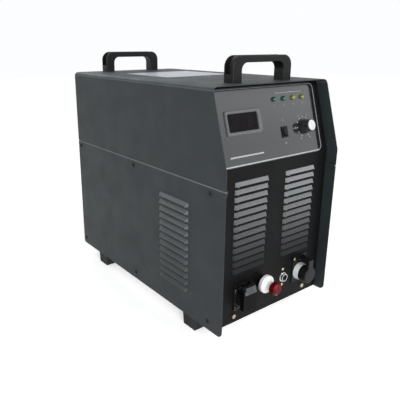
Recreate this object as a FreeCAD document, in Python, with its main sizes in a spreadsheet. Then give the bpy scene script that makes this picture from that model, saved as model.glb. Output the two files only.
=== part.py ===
import FreeCAD, Part
import math
import os
import re
import Sketcher

# An air plasma cutter in a folded sheet steel case.
# Millimetres, +Z up, the front faces -Y, X runs to the right seen from the front.
# The origin is on the floor, in the middle of the case.

os.makedirs("parts", exist_ok=True)
doc = FreeCAD.newDocument("plasma_cutter")
sheet = doc.addObject("Spreadsheet::Sheet", "Sizes")
size = {
    # Case
    "case_width": 300,
    "case_depth": 550,
    "case_height": 448,
    "floor_gap": 27,
    "knee_height": 313,
    "knee_drop": 4,
    "seam_height": 280,
    "hood_setback": 40,
    "front_recess": 23,
    "rear_recess": 2,
    "gauge": 1.5,
    "bend_radius": 9,
    "panel_bend": 2.5,
    "fit_gap": 0.3,
    "seam_gap": 0.6,
    "hem_height": 10,
    "tuck_height": 26,
    "tuck_lip": 5,
    "front_corner": 11,
    "rear_corner": 6,
    "panel_lift": 2.5,
    "top_gap": 3.2,
    "top_return": 14,
    "rear_return": 10,
    "flange_gap": 1.8,
    "front_flange": 30,
    "rear_flange": 24,
    # Base pan and feet
    "pan_gauge": 2,
    "pan_rise": 3,
    "pan_flange": 26,
    "foot_top": 42,
    "foot_low": 35,
    "foot_inset": 3,
    "front_foot_place": 97,
    "rear_foot_place": 99,
    "foot_screw_place": 110,
    "foot_bore_depth": 14,
    # Rails and deck
    "rail_gauge": 2,
    "rail_height": 26,
    "rail_ledge": 16,
    "deck_gauge": 1.5,
    "deck_front": 55,
    "deck_rear": 72,
    # Louvres
    "louvre_stand": 6,
    "louvre_height": 9,
    "louvre_lip": 2.5,
    "louvre_taper": 4.5,
    "louvre_skin": 1.2,
    "front_louvre_length": 84,
    "front_louvre_middle": 66,
    "front_louvre_low": 107,
    "front_louvre_pitch": 14,
    "front_louvre_rows": 13,
    "side_louvre_length": 92,
    "side_louvre_place": 144,
    "side_louvre_low": 52,
    "side_louvre_pitch": 14.5,
    "side_louvre_rows": 13,
    # Screws
    "side_screw_front": 41,
    "side_screw_middle": 291,
    "side_screw_rear": 10,
    "side_screw_low": 15,
    "side_screw_drop": 13,
    "pan_head": 4,
    "pan_head_height": 2.4,
    "m4_shank": 1.95,
    "m4_hole": 2.25,
    "m4_length": 9,
    "m3_head": 3.1,
    "m3_head_height": 2,
    "m3_shank": 1.45,
    "m3_hole": 1.75,
    "m3_length": 6,
    "m5_head": 4.6,
    "m5_head_height": 3.2,
    "m5_shank": 2.4,
    "m5_hole": 2.75,
    "m5_length": 14,
    "corner_screw_place": 100,
    "corner_screw_up": 17.5,
    "hex_head": 4.7,
    "hex_head_height": 3.5,
    # Handles
    "handle_length": 154,
    "handle_width": 25,
    "handle_height": 47,
    "handle_bar": 12.5,
    "handle_leg": 22.6,
    "handle_outer": 20,
    "handle_inner": 13.5,
    "handle_edge": 3,
    "grip_edge": 2,
    "channel_width": 18,
    "channel_depth": 7,
    "channel_low": 15,
    "channel_round": 18,
    "groove_depth": 0.8,
    "front_handle_place": 82,
    "rear_handle_place": 18,
    "handle_screw_inset": 15,
    # Top plate
    "plate_left": -83,
    "plate_right": 91,
    "plate_front": 258,
    "plate_rear": 414,
    "plate_gauge": 0.8,
    # Control label
    "label_half": 136.5,
    "label_low": 0.7,
    "label_top_gap": 6.9,
    "label_gauge": 0.5,
    "label_corner": 11,
    # Meter
    "meter_x": -75,
    "meter_drop": 67.8,
    "meter_width": 84,
    "meter_height": 44,
    "meter_stand": 5,
    "view_width": 70,
    "view_height": 32,
    "meter_body_width": 75,
    "meter_body_height": 38,
    "meter_depth": 40,
    "window_gauge": 1.5,
    "bezel_chamfer": 2,
    # Lamps
    "lamp_first": 13,
    "lamp_pitch": 26.5,
    "lamp_drop": 33.8,
    "lamp_radius": 4.5,
    "lamp_stem": 2,
    "lamp_back": 7,
    # Control board
    "board_gauge": 1.6,
    "board_back": 26,
    "board_left": -30,
    "board_right": 128,
    "board_low": 22.2,
    "board_top_gap": 14.8,
    "spacer_radius": 3,
    "spacer_inset": 6,
    # Rocker switch
    "rocker_x": 29,
    "rocker_below": 23.8,
    "rocker_width": 15,
    "rocker_height": 21,
    "rocker_stand": 2,
    "rocker_open_width": 9.4,
    "rocker_open_height": 15.4,
    "rocker_depth": 18,
    "rocker_well": 8,
    "button_width": 8.8,
    "button_height": 13.2,
    "button_back": 4,
    "button_stand": 5.5,
    "button_pivot": 1,
    "button_pin": 1,
    "button_tilt": 9,
    "button_play": 0.06,
    # Knob and potentiometer
    "knob_x": 86.5,
    "knob_below": 19.3,
    "skirt_radius": 15,
    "skirt_height": 3,
    "knob_radius": 13.6,
    "knob_tip": 11.4,
    "knob_length": 18,
    "knob_under": 9,
    "flute_radius": 1.1,
    "flute_count": 20,
    "cap_radius": 10,
    "cap_gauge": 2.2,
    "cap_sink": 1,
    "shaft_radius": 3,
    "shaft_play": 0.05,
    "pot_radius": 8.5,
    "pot_depth": 13,
    "bush_radius": 4.5,
    "pot_nut": 6.5,
    "pot_nut_height": 2.3,
    # Hinged lids of the two outer sockets
    "lid_play": 0.5,
    "hinge_out": 9,
    "ear_width": 4,
    "ear_radius": 4,
    "ear_play": 0.3,
    "lid_pin": 1.5,
    "pin_play": 0.06,
    # Left socket
    "left_x": -78,
    "left_up": 52,
    "left_flange": 23,
    "flange_plate": 2,
    "left_barrel": 18,
    "left_stand": 13,
    "left_back": 15,
    "left_bore": 13,
    "left_depth": 34,
    "contact_radius": 2.4,
    "contact_circle": 7.5,
    "left_hinge": 26,
    "left_knuckle": 26,
    "left_lid_side": 34,
    "left_lid_low": 20,
    "left_lid_gauge": 9,
    "left_lid_slope": 7,
    "left_screw_x": 18,
    "left_screw_up": 18,
    # Terminal
    "terminal_x": -30,
    "terminal_up": 70,
    "base_radius": 13,
    "base_length": 14,
    "disc_radius": 18,
    "disc_length": 7.5,
    "disc_edge": 2.5,
    "neck_radius": 10,
    "stud_radius": 4,
    "stud_back": 30,
    "collar_radius": 7.5,
    "collar_height": 12,
    "shoulder_radius": 5.5,
    "shoulder_length": 2,
    "red_radius": 12,
    "red_length": 13,
    "red_edge": 3,
    "red_facets": 12,
    "red_gap": 1,
    "nut_play": 0.05,
    # Signal socket
    "signal_x": 36.5,
    "signal_up": 57.5,
    "signal_flange": 10,
    "signal_flange_gauge": 2,
    "signal_barrel": 8.2,
    "signal_stand": 7,
    "signal_bore": 6.6,
    "signal_depth": 14,
    "signal_screw": 17,
    # Right socket
    "right_x": 86.5,
    "right_up": 57,
    "right_half": 21,
    "right_low": 22,
    "right_high": 37,
    "ring_radius": 18.5,
    "ring_tip": 17,
    "ring_length": 11,
    "right_bore": 10,
    "right_body": 14,
    "right_depth": 34,
    "right_hinge": 30,
    "right_knuckle": 14,
    "right_lid_radius": 17,
    "right_lid_length": 18,
    "right_lid_edge": 2,
    "tab_gauge": 8,
    "right_screw_x": 16.5,
    "right_screw_up": 30.5,
    "right_screw_down": 17,
    # Fan
    "fan_up": 112,
    "fan_side": 160,
    "fan_depth": 40,
    "fan_hole_inset": 9,
    "fan_rim": 5,
    "fan_wall_inset": 7.5,
    "hub_radius": 29,
    "hub_length": 26,
    "tip_gap": 3.5,
    "blade_gauge": 2,
    "blade_chord": 24,
    "blade_count": 7,
    "blade_pitch": 38,
    "strut_width": 8,
    "strut_gauge": 4,
    "axle_radius": 3,
    "axle_play": 0.05,
    "motor_radius": 30,
    "motor_gauge": 5,
    "guard_wire": 1.5,
    "guard_rings": 5,
    "guard_inner": 18,
    "guard_inset": 4,
    "guard_lap": 0.5,
    "eye_gauge": 3.4,
    "eye_radius": 5.5,
    # Rear fittings
    "breaker_inset": 88,
    "breaker_up": 330,
    "breaker_width": 54,
    "breaker_height": 80,
    "breaker_depth": 62,
    "nose_height": 45,
    "nose_stand": 6,
    "lever_width": 48,
    "lever_radius": 9,
    "lever_reach": 9,
    "lever_grip": 6,
    "lever_play": 0.5,
    "pin_reach": 3,
    "pin_slack": 0.5,
    "gland_inset": 78,
    "gland_up": 330,
    "gland_bore": 9,
    "gland_thread": 14,
    "gland_hex": 19,
    "gland_hex_height": 8,
    "gland_dome": 17,
    "gland_dome_height": 14,
    "gland_nut_height": 6,
    "gland_back": 16,
    "inlet_inset": 40,
    "inlet_up": 236,
    "inlet_barb": 4.5,
    "inlet_bore": 2.5,
    "inlet_reach": 22,
    "inlet_hex": 9,
    "inlet_back": 20,
    "earth_inset": 32,
    "earth_up": 40,
    "earth_radius": 4,
    "earth_reach": 18,
    "earth_nut": 7.5,
    "earth_nut_height": 6,
    # Air valve and hose
    "valve_width": 26,
    "valve_length": 40,
    "valve_height": 26,
    "coil_radius": 14,
    "coil_height": 34,
    "hose_radius": 4,
    "hose_bend": 30,
    "hose_inset": 16,
    "nipple_reach": 14,
    # Power stage
    "sink_width": 112,
    "sink_gap": 8,
    "sink_front": 40,
    "sink_rear": 150,
    "sink_height": 70,
    "sink_base": 8,
    "fin_count": 12,
    "fin_gauge": 2.5,
    "module_width": 34,
    "module_length": 90,
    "module_height": 24,
    "power_board_gauge": 2,
    "power_spacer": 26,
    "power_spacer_inset": 8,
    "can_radius": 32,
    "can_height": 95,
    "can_pitch": 76,
    # Wound parts
    "core_x": -55,
    "core_width": 90,
    "core_depth": 54,
    "core_height": 92,
    "core_limb": 22,
    "core_front": 62,
    "winding_thick": 12,
    "choke_x": 58,
    "choke_radius": 38,
    "choke_bore": 17,
    "choke_height": 44,
    "starter_x": -70,
    "starter_width": 92,
    "starter_depth": 70,
    "starter_height": 58,
    "starter_front": 135,
}
for row, (alias, number) in enumerate(size.items(), start=1):
    sheet.set("A%d" % row, alias)
    sheet.set("B%d" % row, str(number))
    sheet.setAlias("B%d" % row, alias)

# Levels and faces that many pieces share, as expressions of the sizes
BOTTOM = "floor_gap"
TOP = "(floor_gap+case_height)"
KNEE = "(floor_gap+knee_height)"
PANEL_KNEE = "(floor_gap+knee_height-knee_drop)"
SEAM = "(floor_gap+seam_height)"
PAN_UNDER = "(floor_gap+pan_rise)"
PAN_TOP = "(floor_gap+pan_rise+pan_gauge)"
FRONT = "(-case_depth/2)"
REAR = "(case_depth/2)"
FACE = "(-case_depth/2+front_recess)"
FACE_BACK = "(-case_depth/2+front_recess+gauge)"
REAR_FACE = "(case_depth/2-rear_recess)"
REAR_INSIDE = "(case_depth/2-rear_recess-gauge)"
SKIN = "(case_width/2-gauge)"
HALF_PANEL = "(case_width/2-2*gauge-fit_gap)"
TUCK_INSIDE = "(case_width/2-3*gauge-fit_gap)"
FLANGE_OUTSIDE = "(case_width/2-3*gauge-2*fit_gap)"
FLANGE_INSIDE = "(case_width/2-4*gauge-2*fit_gap)"
PAN_OUTSIDE = "(case_width/2-gauge-fit_gap)"
PAN_INSIDE = "(case_width/2-gauge-fit_gap-pan_gauge)"
RAIL_INSIDE = "(case_width/2-3*gauge-2*fit_gap-rail_gauge)"
RISE = "(case_height-knee_height)"
LEAN = "(hood_setback/(case_height-knee_height))"
TILT = "atan(hood_setback/(case_height-knee_height))"
DECK_TOP = "(floor_gap+seam_height-rail_height-fit_gap+rail_gauge+deck_gauge)"
SINK_TOP = "(floor_gap+pan_rise+pan_gauge+sink_height)"
STEEPNESS = "sqrt(1+(hood_setback/(case_height-knee_height))^2)"
SLOPE = "((case_height-knee_height+knee_drop)*%s)" % STEEPNESS
# Places that follow other sizes: each word stands for the expression beside it
derived = {
    "lamp_up": "(%s-lamp_drop)" % SLOPE,
    "meter_up": "(%s-meter_drop)" % SLOPE,
    "knob_up": "(%s/2-knob_below)" % SLOPE,
    "rocker_up": "(%s/2-rocker_below)" % SLOPE,
    "label_high": "(%s-label_top_gap)" % SLOPE,
    "board_high": "(%s-board_top_gap)" % SLOPE,
    "fan_bore": "(fan_side/2-fan_rim)",
    "fan_corner": "(fan_side/2-fan_hole_inset)",
    "fan_wall": "(fan_side/2-fan_wall_inset)",
    "blade_tip": "(fan_side/2-fan_rim-tip_gap)",
    "guard_outer": "(fan_side/2-guard_inset)",
    "inlet_x": "(case_width/2-inlet_inset)",
    "gland_x": "(case_width/2-gland_inset)",
    "breaker_x": "(breaker_inset-case_width/2)",
    "earth_x": "(earth_inset-case_width/2)",
}
AXIS_X = FreeCAD.Vector(1, 0, 0)
AXIS_Y = FreeCAD.Vector(0, 1, 0)
AXIS_Z = FreeCAD.Vector(0, 0, 1)


def bind(item, prop, text):
    """Tie a property to an expression of the sheet's sizes."""
    if isinstance(text, (int, float)):
        text = repr(text)
    text = re.sub(r"[a-z_]\w*", lambda m: derived.get(m[0], m[0]), text)
    words = re.sub(r"[a-z_][a-z_0-9]*", lambda m: "Sizes." + m[0] if m[0] in size else m[0], text)
    item.setExpression(prop, words)


def place(item, x, y, z):
    """Put an object's own origin at a point given by three expressions."""
    for letter, text in zip("xyz", (x, y, z)):
        bind(item, "Placement.Base." + letter, text)
    return item


def block(name, x, y, z):
    """A box between pairs of expressions, low and high, along each axis."""
    item = doc.addObject("Part::Box", name)
    for side, (low, high) in zip(("Length", "Width", "Height"), (x, y, z)):
        bind(item, side, "(%s)-(%s)" % (high, low))
    return place(item, x[0], y[0], z[0])


HEADINGS = {
    "x": FreeCAD.Rotation(AXIS_Y, 90),
    "-x": FreeCAD.Rotation(AXIS_Y, -90),
    "y": FreeCAD.Rotation(AXIS_X, -90),
    "-y": FreeCAD.Rotation(AXIS_X, 90),
    "z": FreeCAD.Rotation(),
    "-z": FreeCAD.Rotation(AXIS_X, 180),
}


def rod(name, radius, length, x, y, z, heading):
    """A cylinder that starts at a point and runs along a heading."""
    item = doc.addObject("Part::Cylinder", name)
    bind(item, "Radius", radius)
    bind(item, "Height", length)
    item.Placement.Rotation = HEADINGS[heading]
    return place(item, x, y, z)


def cone(name, radius, tip, length, x, y, z, heading):
    """A truncated cone that starts at a point and runs along a heading."""
    item = doc.addObject("Part::Cone", name)
    bind(item, "Radius1", radius)
    bind(item, "Radius2", tip)
    bind(item, "Height", length)
    item.Placement.Rotation = HEADINGS[heading]
    return place(item, x, y, z)


def on_slope(item, x, up, out):
    """Put an object on the leaning control panel.

    Its own x runs along X, its y up the slope from the knee, its z straight out of the panel.
    """
    item.Placement = FreeCAD.Placement(FreeCAD.Vector(), FreeCAD.Rotation(AXIS_X, 80))
    bind(item, "Placement.Rotation.Angle", "90 deg-" + TILT)
    bind(item, "Placement.Base.x", x)
    bind(item, "Placement.Base.y", "%s+(%s)*sin(%s)-(%s)*cos(%s)" % (FACE, up, TILT, out, TILT))
    bind(item, "Placement.Base.z", "%s+(%s)*cos(%s)+(%s)*sin(%s)" % (PANEL_KNEE, up, TILT, out, TILT))
    return item


def slope_block(name, x, up, out):
    """A box on the control panel, between pairs of expressions."""
    item = doc.addObject("Part::Box", name)
    for side, (low, high) in zip(("Length", "Width", "Height"), (x, up, out)):
        bind(item, side, "(%s)-(%s)" % (high, low))
    return on_slope(item, x[0], up[0], out[0])


def slope_rod(name, radius, x, up, out):
    """A cylinder square to the control panel, from out[0] to out[1]."""
    item = doc.addObject("Part::Cylinder", name)
    bind(item, "Radius", radius)
    bind(item, "Height", "(%s)-(%s)" % (out[1], out[0]))
    return on_slope(item, x, up, out[0])


def front_rod(name, radius, x, up, out):
    """A cylinder square to the upright front panel, from out[0] to out[1]."""
    length = "(%s)-(%s)" % (out[1], out[0])
    return rod(name, radius, length, x, "%s-(%s)" % (FACE, out[0]), "%s+(%s)" % (BOTTOM, up), "-y")


def front_block(name, x, up, out):
    """A box on the upright front panel, between pairs of expressions."""
    y = ("%s-(%s)" % (FACE, out[1]), "%s-(%s)" % (FACE, out[0]))
    z = ("%s+(%s)" % (BOTTOM, up[0]), "%s+(%s)" % (BOTTOM, up[1]))
    return block(name, x, y, z)


def rear_rod(name, radius, x, up, out):
    """A cylinder square to the rear panel, from out[0] to out[1]."""
    length = "(%s)-(%s)" % (out[1], out[0])
    y = "%s+(%s)" % (REAR_FACE, out[0])
    return rod(name, radius, length, x, y, "%s+(%s)" % (BOTTOM, up), "y")


def rear_block(name, x, up, out):
    """A box on the rear panel, between pairs of expressions."""
    y = ("%s+(%s)" % (REAR_FACE, out[0]), "%s+(%s)" % (REAR_FACE, out[1]))
    z = ("%s+(%s)" % (BOTTOM, up[0]), "%s+(%s)" % (BOTTOM, up[1]))
    return block(name, x, y, z)


def hexagon(name, across, length, x, y, z, heading):
    """A hexagonal prism with a circumscribed radius, along a heading."""
    item = doc.addObject("Part::Prism", name)
    item.Polygon = 6
    bind(item, "Circumradius", across)
    bind(item, "Height", length)
    item.Placement.Rotation = HEADINGS[heading]
    return place(item, x, y, z)


def fuse(name, *shapes):
    """Join objects into one solid."""
    item = doc.addObject("Part::MultiFuse", name)
    item.Shapes = list(shapes)
    return item


def group(name, *shapes):
    """Hold separate solids together as one object."""
    item = doc.addObject("Part::Compound", name)
    item.Links = list(shapes)
    return item


def cut(name, base, *tools):
    """Take tools away from a base."""
    item = doc.addObject("Part::Cut", name)
    item.Base = base
    item.Tool = tools[0] if len(tools) == 1 else group(name + "_tools", *tools)
    return item


def chosen_edges(shape, direction, test):
    """Numbers of the straight edges along a direction whose middle passes a test."""
    numbers = []
    for number, edge in enumerate(shape.Edges, 1):
        if not isinstance(edge.Curve, Part.Line) or len(edge.Vertexes) < 2:
            continue
        along = edge.Vertexes[1].Point - edge.Vertexes[0].Point
        straight = along.cross(direction).Length < 1e-6 * along.Length
        if straight and test(edge.CenterOfMass, shape.BoundBox):
            numbers.append(number)
    return numbers


def soften(name, base, radius, *choices, kind="Part::Fillet"):
    """Round, or chamfer, the edges of a base that the choices pick out."""
    doc.recompute()
    edges = []
    for direction, test in choices:
        edges += [(n, size[radius], size[radius]) for n in chosen_edges(base.Shape, direction, test)]
    item = doc.addObject(kind, name)
    item.Base = base
    item.Edges = edges
    return item


def same(a, b):
    """Whether two lengths agree."""
    return abs(a - b) < 1e-6


PLANES = {"XY": "XY_Plane", "XZ": "XZ_Plane", "YZ": "YZ_Plane"}


def profile(name, plane, points, start, end):
    """A body: a closed outline of bound points on an origin plane, padded from start to end.

    The plane's normal is +Z for XY, -Y for XZ and +X for YZ.
    """
    body = doc.addObject("PartDesign::Body", name)
    sketch = body.newObject("Sketcher::SketchObject", name + "_outline")
    planes = [p for p in body.Origin.OriginFeatures if p.Role == PLANES[plane]]
    sketch.AttachmentSupport = [(planes[0], "")]
    sketch.MapMode = "FlatFace"
    bind(sketch, "AttachmentOffset.Base.z", start)
    count = len(points)
    for number in range(count):
        angle = 2 * math.pi * number / count
        following = 2 * math.pi * (number + 1) / count
        first = FreeCAD.Vector(math.cos(angle), math.sin(angle), 0)
        second = FreeCAD.Vector(math.cos(following), math.sin(following), 0)
        sketch.addGeometry(Part.LineSegment(first, second), False)
    for number in range(count):
        sketch.addConstraint(Sketcher.Constraint("Coincident", number, 2, (number + 1) % count, 1))
    for number, point in enumerate(points):
        for kind, text in zip(("DistanceX", "DistanceY"), point):
            index = sketch.addConstraint(Sketcher.Constraint(kind, -1, 1, number, 1, 1.0))
            bind(sketch, "Constraints[%d]" % index, text)
    pad = body.newObject("PartDesign::Pad", name + "_pad")
    pad.Profile = sketch
    bind(pad, "Length", "(%s)-(%s)" % (end, start))
    body.Tip = pad
    return body


def rounded_body(body, radius, direction, test):
    """Add a fillet to a body, on the edges that a test picks out."""
    doc.recompute()
    base = body.Tip
    names = ["Edge%d" % n for n in chosen_edges(base.Shape, direction, test)]
    fillet = body.newObject("PartDesign::Fillet", body.Name + "_bend")
    fillet.Base = (base, names)
    bind(fillet, "Radius", radius)
    body.Tip = fillet
    return body


nodes = []


def node(item, label):
    """Keep an object as a piece of its own."""
    item.Label = label
    nodes.append(item)
    return item


def mirrored(name, source):
    """The same piece on the other side of the case."""
    item = doc.addObject("Part::Mirroring", name)
    item.Source = source
    item.Normal = AXIS_X
    item.Base = FreeCAD.Vector(0, 0, 0)
    return item


def pan_screw(name, x, y, z, heading, small=False):
    """A pan head screw: the head stands along the heading, the shank runs back from its seat."""
    back = heading[1:] if heading.startswith("-") else "-" + heading
    thread = "m3" if small else "m4"
    head_size = "m3_head" if small else "pan_head"
    head = rod(name + "_head", head_size, head_size + "_height", x, y, z, heading)
    shank = rod(name + "_shank", thread + "_shank", thread + "_length", x, y, z, back)
    return fuse(name, head, shank)


def louvre(name, length, x, y, z, turned):
    """The outside and the hollow of one pressed louvre, open below.

    The hood stands out of the sheet by louvre_stand at its lower lip and tapers at its ends.
    """
    outside = doc.addObject("Part::Wedge", name + "_outside")
    hollow = doc.addObject("Part::Wedge", name + "_hollow")
    forms = ((outside, "0", "gauge/2", "0"), (hollow, "louvre_skin", "gauge+1", "-1"))
    for item, skin, deep, low in forms:
        bind(item, "Ymin", "-louvre_stand" if item is outside else "-louvre_stand-0.5")
        bind(item, "Ymax", deep)
        bind(item, "Xmin", "-%s/2+louvre_taper+%s" % (length, skin))
        bind(item, "Xmax", "%s/2-louvre_taper-%s" % (length, skin))
        bind(item, "X2min", "-%s/2+%s" % (length, skin))
        bind(item, "X2max", "%s/2-%s" % (length, skin))
        bind(item, "Zmin", low)
        bind(item, "Zmax", "louvre_lip-" + skin)
        bind(item, "Z2min", low)
        bind(item, "Z2max", "louvre_height-" + skin)
        item.Placement.Rotation = FreeCAD.Rotation(AXIS_Z, -90 if turned else 0)
        place(item, x, y, z)
    return outside, hollow


def base_pan():
    """The tray that carries everything, bent up on four sides."""
    sides = ("-" + PAN_OUTSIDE, PAN_OUTSIDE)
    ends = (FACE_BACK + "+fit_gap", REAR_INSIDE + "-fit_gap")
    outer = block("pan_outer", sides, ends, (PAN_UNDER, PAN_UNDER + "+pan_flange"))
    inner = block(
        "pan_inner",
        ("-" + PAN_INSIDE, PAN_INSIDE),
        (ends[0] + "+pan_gauge", ends[1] + "-pan_gauge"),
        (PAN_TOP, PAN_UNDER + "+pan_flange+1"),
    )
    holes = []
    for side in (-1, 1):
        for y in SIDE_SCREWS:
            place_x = "%d*(%s+1)" % (side, PAN_OUTSIDE)
            heading = "-x" if side > 0 else "x"
            z = BOTTOM + "+side_screw_low"
            holes.append(rod("pan_side_hole", "m4_hole", "pan_gauge+2", place_x, y, z, heading))
        for end, heading in ((FACE, "y"), (REAR_FACE, "-y")):
            x = "%d*corner_screw_place" % side
            z = BOTTOM + "+corner_screw_up"
            holes.append(rod("pan_corner_hole", "m5_hole", "10", x, end, z, heading))
        for y in FOOT_PLACES:
            x = "%d*foot_screw_place" % side
            holes.append(rod("pan_foot_hole", "m5_hole", "pan_gauge+2", x, y, PAN_UNDER + "-1", "z"))
    return cut("pan", outer, inner, *holes)


SIDE_SCREWS = (
    FRONT + "+side_screw_front",
    FRONT + "+side_screw_middle",
    REAR + "-side_screw_rear",
)
FOOT_PLACES = (FRONT + "+front_foot_place", REAR + "-rear_foot_place")


def foot(name, y):
    """A bar of black rubber across the case, narrower at the floor."""
    end = "(case_width/2-foot_inset)"
    bar = profile(
        name + "_bar",
        "YZ",
        [
            ("%s-foot_low/2" % y, "0"),
            ("%s+foot_low/2" % y, "0"),
            ("%s+foot_top/2" % y, PAN_UNDER),
            ("%s-foot_top/2" % y, PAN_UNDER),
        ],
        "-" + end,
        end,
    )
    holes = []
    for side in (-1, 1):
        x = "%d*foot_screw_place" % side
        z = PAN_UNDER + "-foot_bore_depth"
        holes.append(rod(name + "_bore", "m5_shank+0.1", "foot_bore_depth+1", x, y, z, "z"))
    return cut(name, bar, *holes)


def m5_screws():
    """Screws that hold the feet from inside the pan and the handles from under the cover."""
    screws = []
    for side in (-1, 1):
        for y in FOOT_PLACES:
            x = "%d*foot_screw_place" % side
            head = rod("foot_screw_head", "m5_head", "m5_head_height", x, y, PAN_TOP, "z")
            shank = rod("foot_screw_shank", "m5_shank", "m5_length", x, y, PAN_TOP, "-z")
            screws.append(fuse("foot_screw", head, shank))
        for y in HANDLE_PLACES:
            x = "%d*(handle_length/2-handle_screw_inset)" % side
            z = TOP + "-gauge"
            head = rod("handle_screw_head", "m5_head", "m5_head_height", x, y, z, "-z")
            shank = rod("handle_screw_shank", "m5_shank", "m5_length", x, y, z, "z")
            screws.append(fuse("handle_screw", head, shank))
    return group("m5_screws", *screws)


HANDLE_PLACES = (FRONT + "+front_handle_place", REAR + "-rear_handle_place")


def side_panel():
    """The left lower panel: hemmed at the seam, round at its lower corners, with its louvres."""
    outline = [
        ("-case_width/2", BOTTOM),
        ("-" + SKIN, BOTTOM),
        ("-" + SKIN, SEAM + "-hem_height"),
        ("-case_width/2+2*gauge", SEAM + "-hem_height"),
        ("-case_width/2+2*gauge", SEAM),
        ("-case_width/2", SEAM),
    ]
    body = profile("side_sheet", "XZ", outline, FRONT, REAR)
    rounded_body(body, "gauge*1.8", AXIS_Y, lambda p, b: same(p.z, b.ZMax) and same(p.x, b.XMin))
    rounded_body(body, "front_corner", AXIS_X, lambda p, b: same(p.z, b.ZMin) and same(p.y, b.YMin))
    rounded_body(body, "rear_corner", AXIS_X, lambda p, b: same(p.z, b.ZMin) and same(p.y, b.YMax))
    hoods = []
    hollows = []
    for row in range(size["side_louvre_rows"]):
        z = "%s+side_louvre_low+%d*side_louvre_pitch" % (BOTTOM, row)
        y = FRONT + "+side_louvre_place"
        hood, hollow = louvre("side_louvre", "side_louvre_length", "-case_width/2", y, z, True)
        hoods.append(hood)
        hollows.append(hollow)
    holes = []
    for y in SIDE_SCREWS:
        for z in (BOTTOM + "+side_screw_low", SEAM + "-side_screw_drop"):
            holes.append(rod("side_hole", "m4_hole", "gauge+2", "-case_width/2-1", y, z, "x"))
    return cut("left_side", fuse("side_hooded", body, *hoods), *hollows, *holes)


def black_screws():
    """Black pan head screws: six to a side, four of the left socket, four of the fan guard."""
    screws = []
    for side, heading in ((-1, "-x"), (1, "x")):
        for y in SIDE_SCREWS:
            for z in (BOTTOM + "+side_screw_low", SEAM + "-side_screw_drop"):
                screws.append(pan_screw("side_screw", "%d*case_width/2" % side, y, z, heading))
    for x, up in LEFT_SCREWS:
        y = FACE + "-flange_plate"
        screws.append(pan_screw("left_screw", x, y, "%s+(%s)" % (BOTTOM, up), "-y"))
    for x, up in FAN_CORNERS:
        y = REAR_FACE + "+eye_gauge"
        screws.append(pan_screw("guard_screw", x, y, "%s+(%s)" % (BOTTOM, up), "y"))
    return group("black_screws", *screws)


def top_cover():
    """The top and both upper sides in one folded sheet, with a leaning front like a hood.

    Below the seam each side is set in and tucked behind the lower panel.
    """
    shelf = SEAM + "+seam_gap"
    tuck = SEAM + "-tuck_height"
    right = [
        ("case_width/2", shelf),
        (HALF_PANEL, shelf),
        (HALF_PANEL, tuck),
        (TUCK_INSIDE, tuck),
        (TUCK_INSIDE, shelf + "+gauge"),
        (SKIN, shelf + "+gauge"),
        (SKIN, TOP + "-gauge"),
    ]
    left = [("-(%s)" % x, z) for x, z in reversed(right)]
    corners = [("-case_width/2", TOP), ("case_width/2", TOP)]
    body = profile("cover_sheet", "XZ", right + left + corners, FRONT, REAR)
    rounded_body(body, "bend_radius", AXIS_Y, lambda p, b: same(p.z, b.ZMax))
    inner = size["floor_gap"] + size["case_height"] - size["gauge"]
    def inner_corner(p, b):
        return same(p.z, inner) and abs(p.x) > size["bend_radius"]
    rounded_body(body, "bend_radius-gauge", AXIS_Y, inner_corner)
    lean = profile(
        "cover_lean",
        "YZ",
        [
            (FRONT + "-1", KNEE + "-1/" + LEAN),
            (FRONT + "+hood_setback+%s" % LEAN, TOP + "+1"),
            (FRONT + "-1", TOP + "+1"),
        ],
        "-case_width",
        "case_width",
    )
    opening = block(
        "cover_front_relief",
        ("-" + SKIN, SKIN),
        (FRONT + "-1", FACE_BACK + "+fit_gap"),
        (SEAM + "-tuck_height-1", SEAM + "-tuck_lip"),
    )
    panel_slot = block(
        "cover_panel_slot",
        ("-" + SKIN, SKIN),
        (FACE + "-fit_gap", FACE_BACK + "+fit_gap"),
        (SEAM + "-tuck_height-1", SEAM + "+seam_gap+gauge+0.01"),
    )
    back_relief = block(
        "cover_rear_relief",
        ("-" + SKIN, SKIN),
        (REAR_INSIDE + "-fit_gap", REAR + "+1"),
        (SEAM + "-tuck_height-1", SEAM + "+seam_gap+gauge+0.01"),
    )
    holes = []
    for side in (-1, 1):
        for y in SIDE_SCREWS:
            x = "%d*(%s+1)" % (side, HALF_PANEL)
            heading = "x" if side < 0 else "-x"
            z = SEAM + "-side_screw_drop"
            holes.append(rod("cover_side_hole", "m4_hole", "gauge+2", x, y, z, heading))
        for y in HANDLE_PLACES:
            x = "%d*(handle_length/2-handle_screw_inset)" % side
            holes.append(rod("cover_handle_hole", "m5_hole", "gauge+2", x, y, TOP + "+1", "-z"))
    return cut("cover", body, lean, opening, panel_slot, back_relief, *holes)


def rail():
    """The left rail under the seam: an angle that the deck rests on."""
    y = (FACE + "+front_flange+fit_gap", REAR_FACE + "-rear_flange-fit_gap")
    low = SEAM + "-rail_height-fit_gap"
    upright = block("rail_upright", ("-" + FLANGE_OUTSIDE, "-" + RAIL_INSIDE), y, (low, SEAM + "-fit_gap"))
    ledge_x = ("-" + FLANGE_OUTSIDE, "-(%s-rail_ledge)" % FLANGE_OUTSIDE)
    ledge = block("rail_ledge", ledge_x, y, (low, low + "+rail_gauge"))
    z = SEAM + "-side_screw_drop"
    hole = rod("rail_hole", "m4_hole", "rail_gauge+2", "-%s-1" % FLANGE_OUTSIDE, SIDE_SCREWS[1], z, "x")
    return cut("rail", fuse("rail_angle", upright, ledge), hole)


def deck():
    """The shelf on the rails that parts the power stage from the control parts."""
    x = "(%s-fit_gap)" % RAIL_INSIDE
    return block(
        "deck_plate",
        ("-" + x, x),
        (FRONT + "+deck_front", REAR + "-deck_rear"),
        (DECK_TOP + "-deck_gauge", DECK_TOP),
    )


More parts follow.
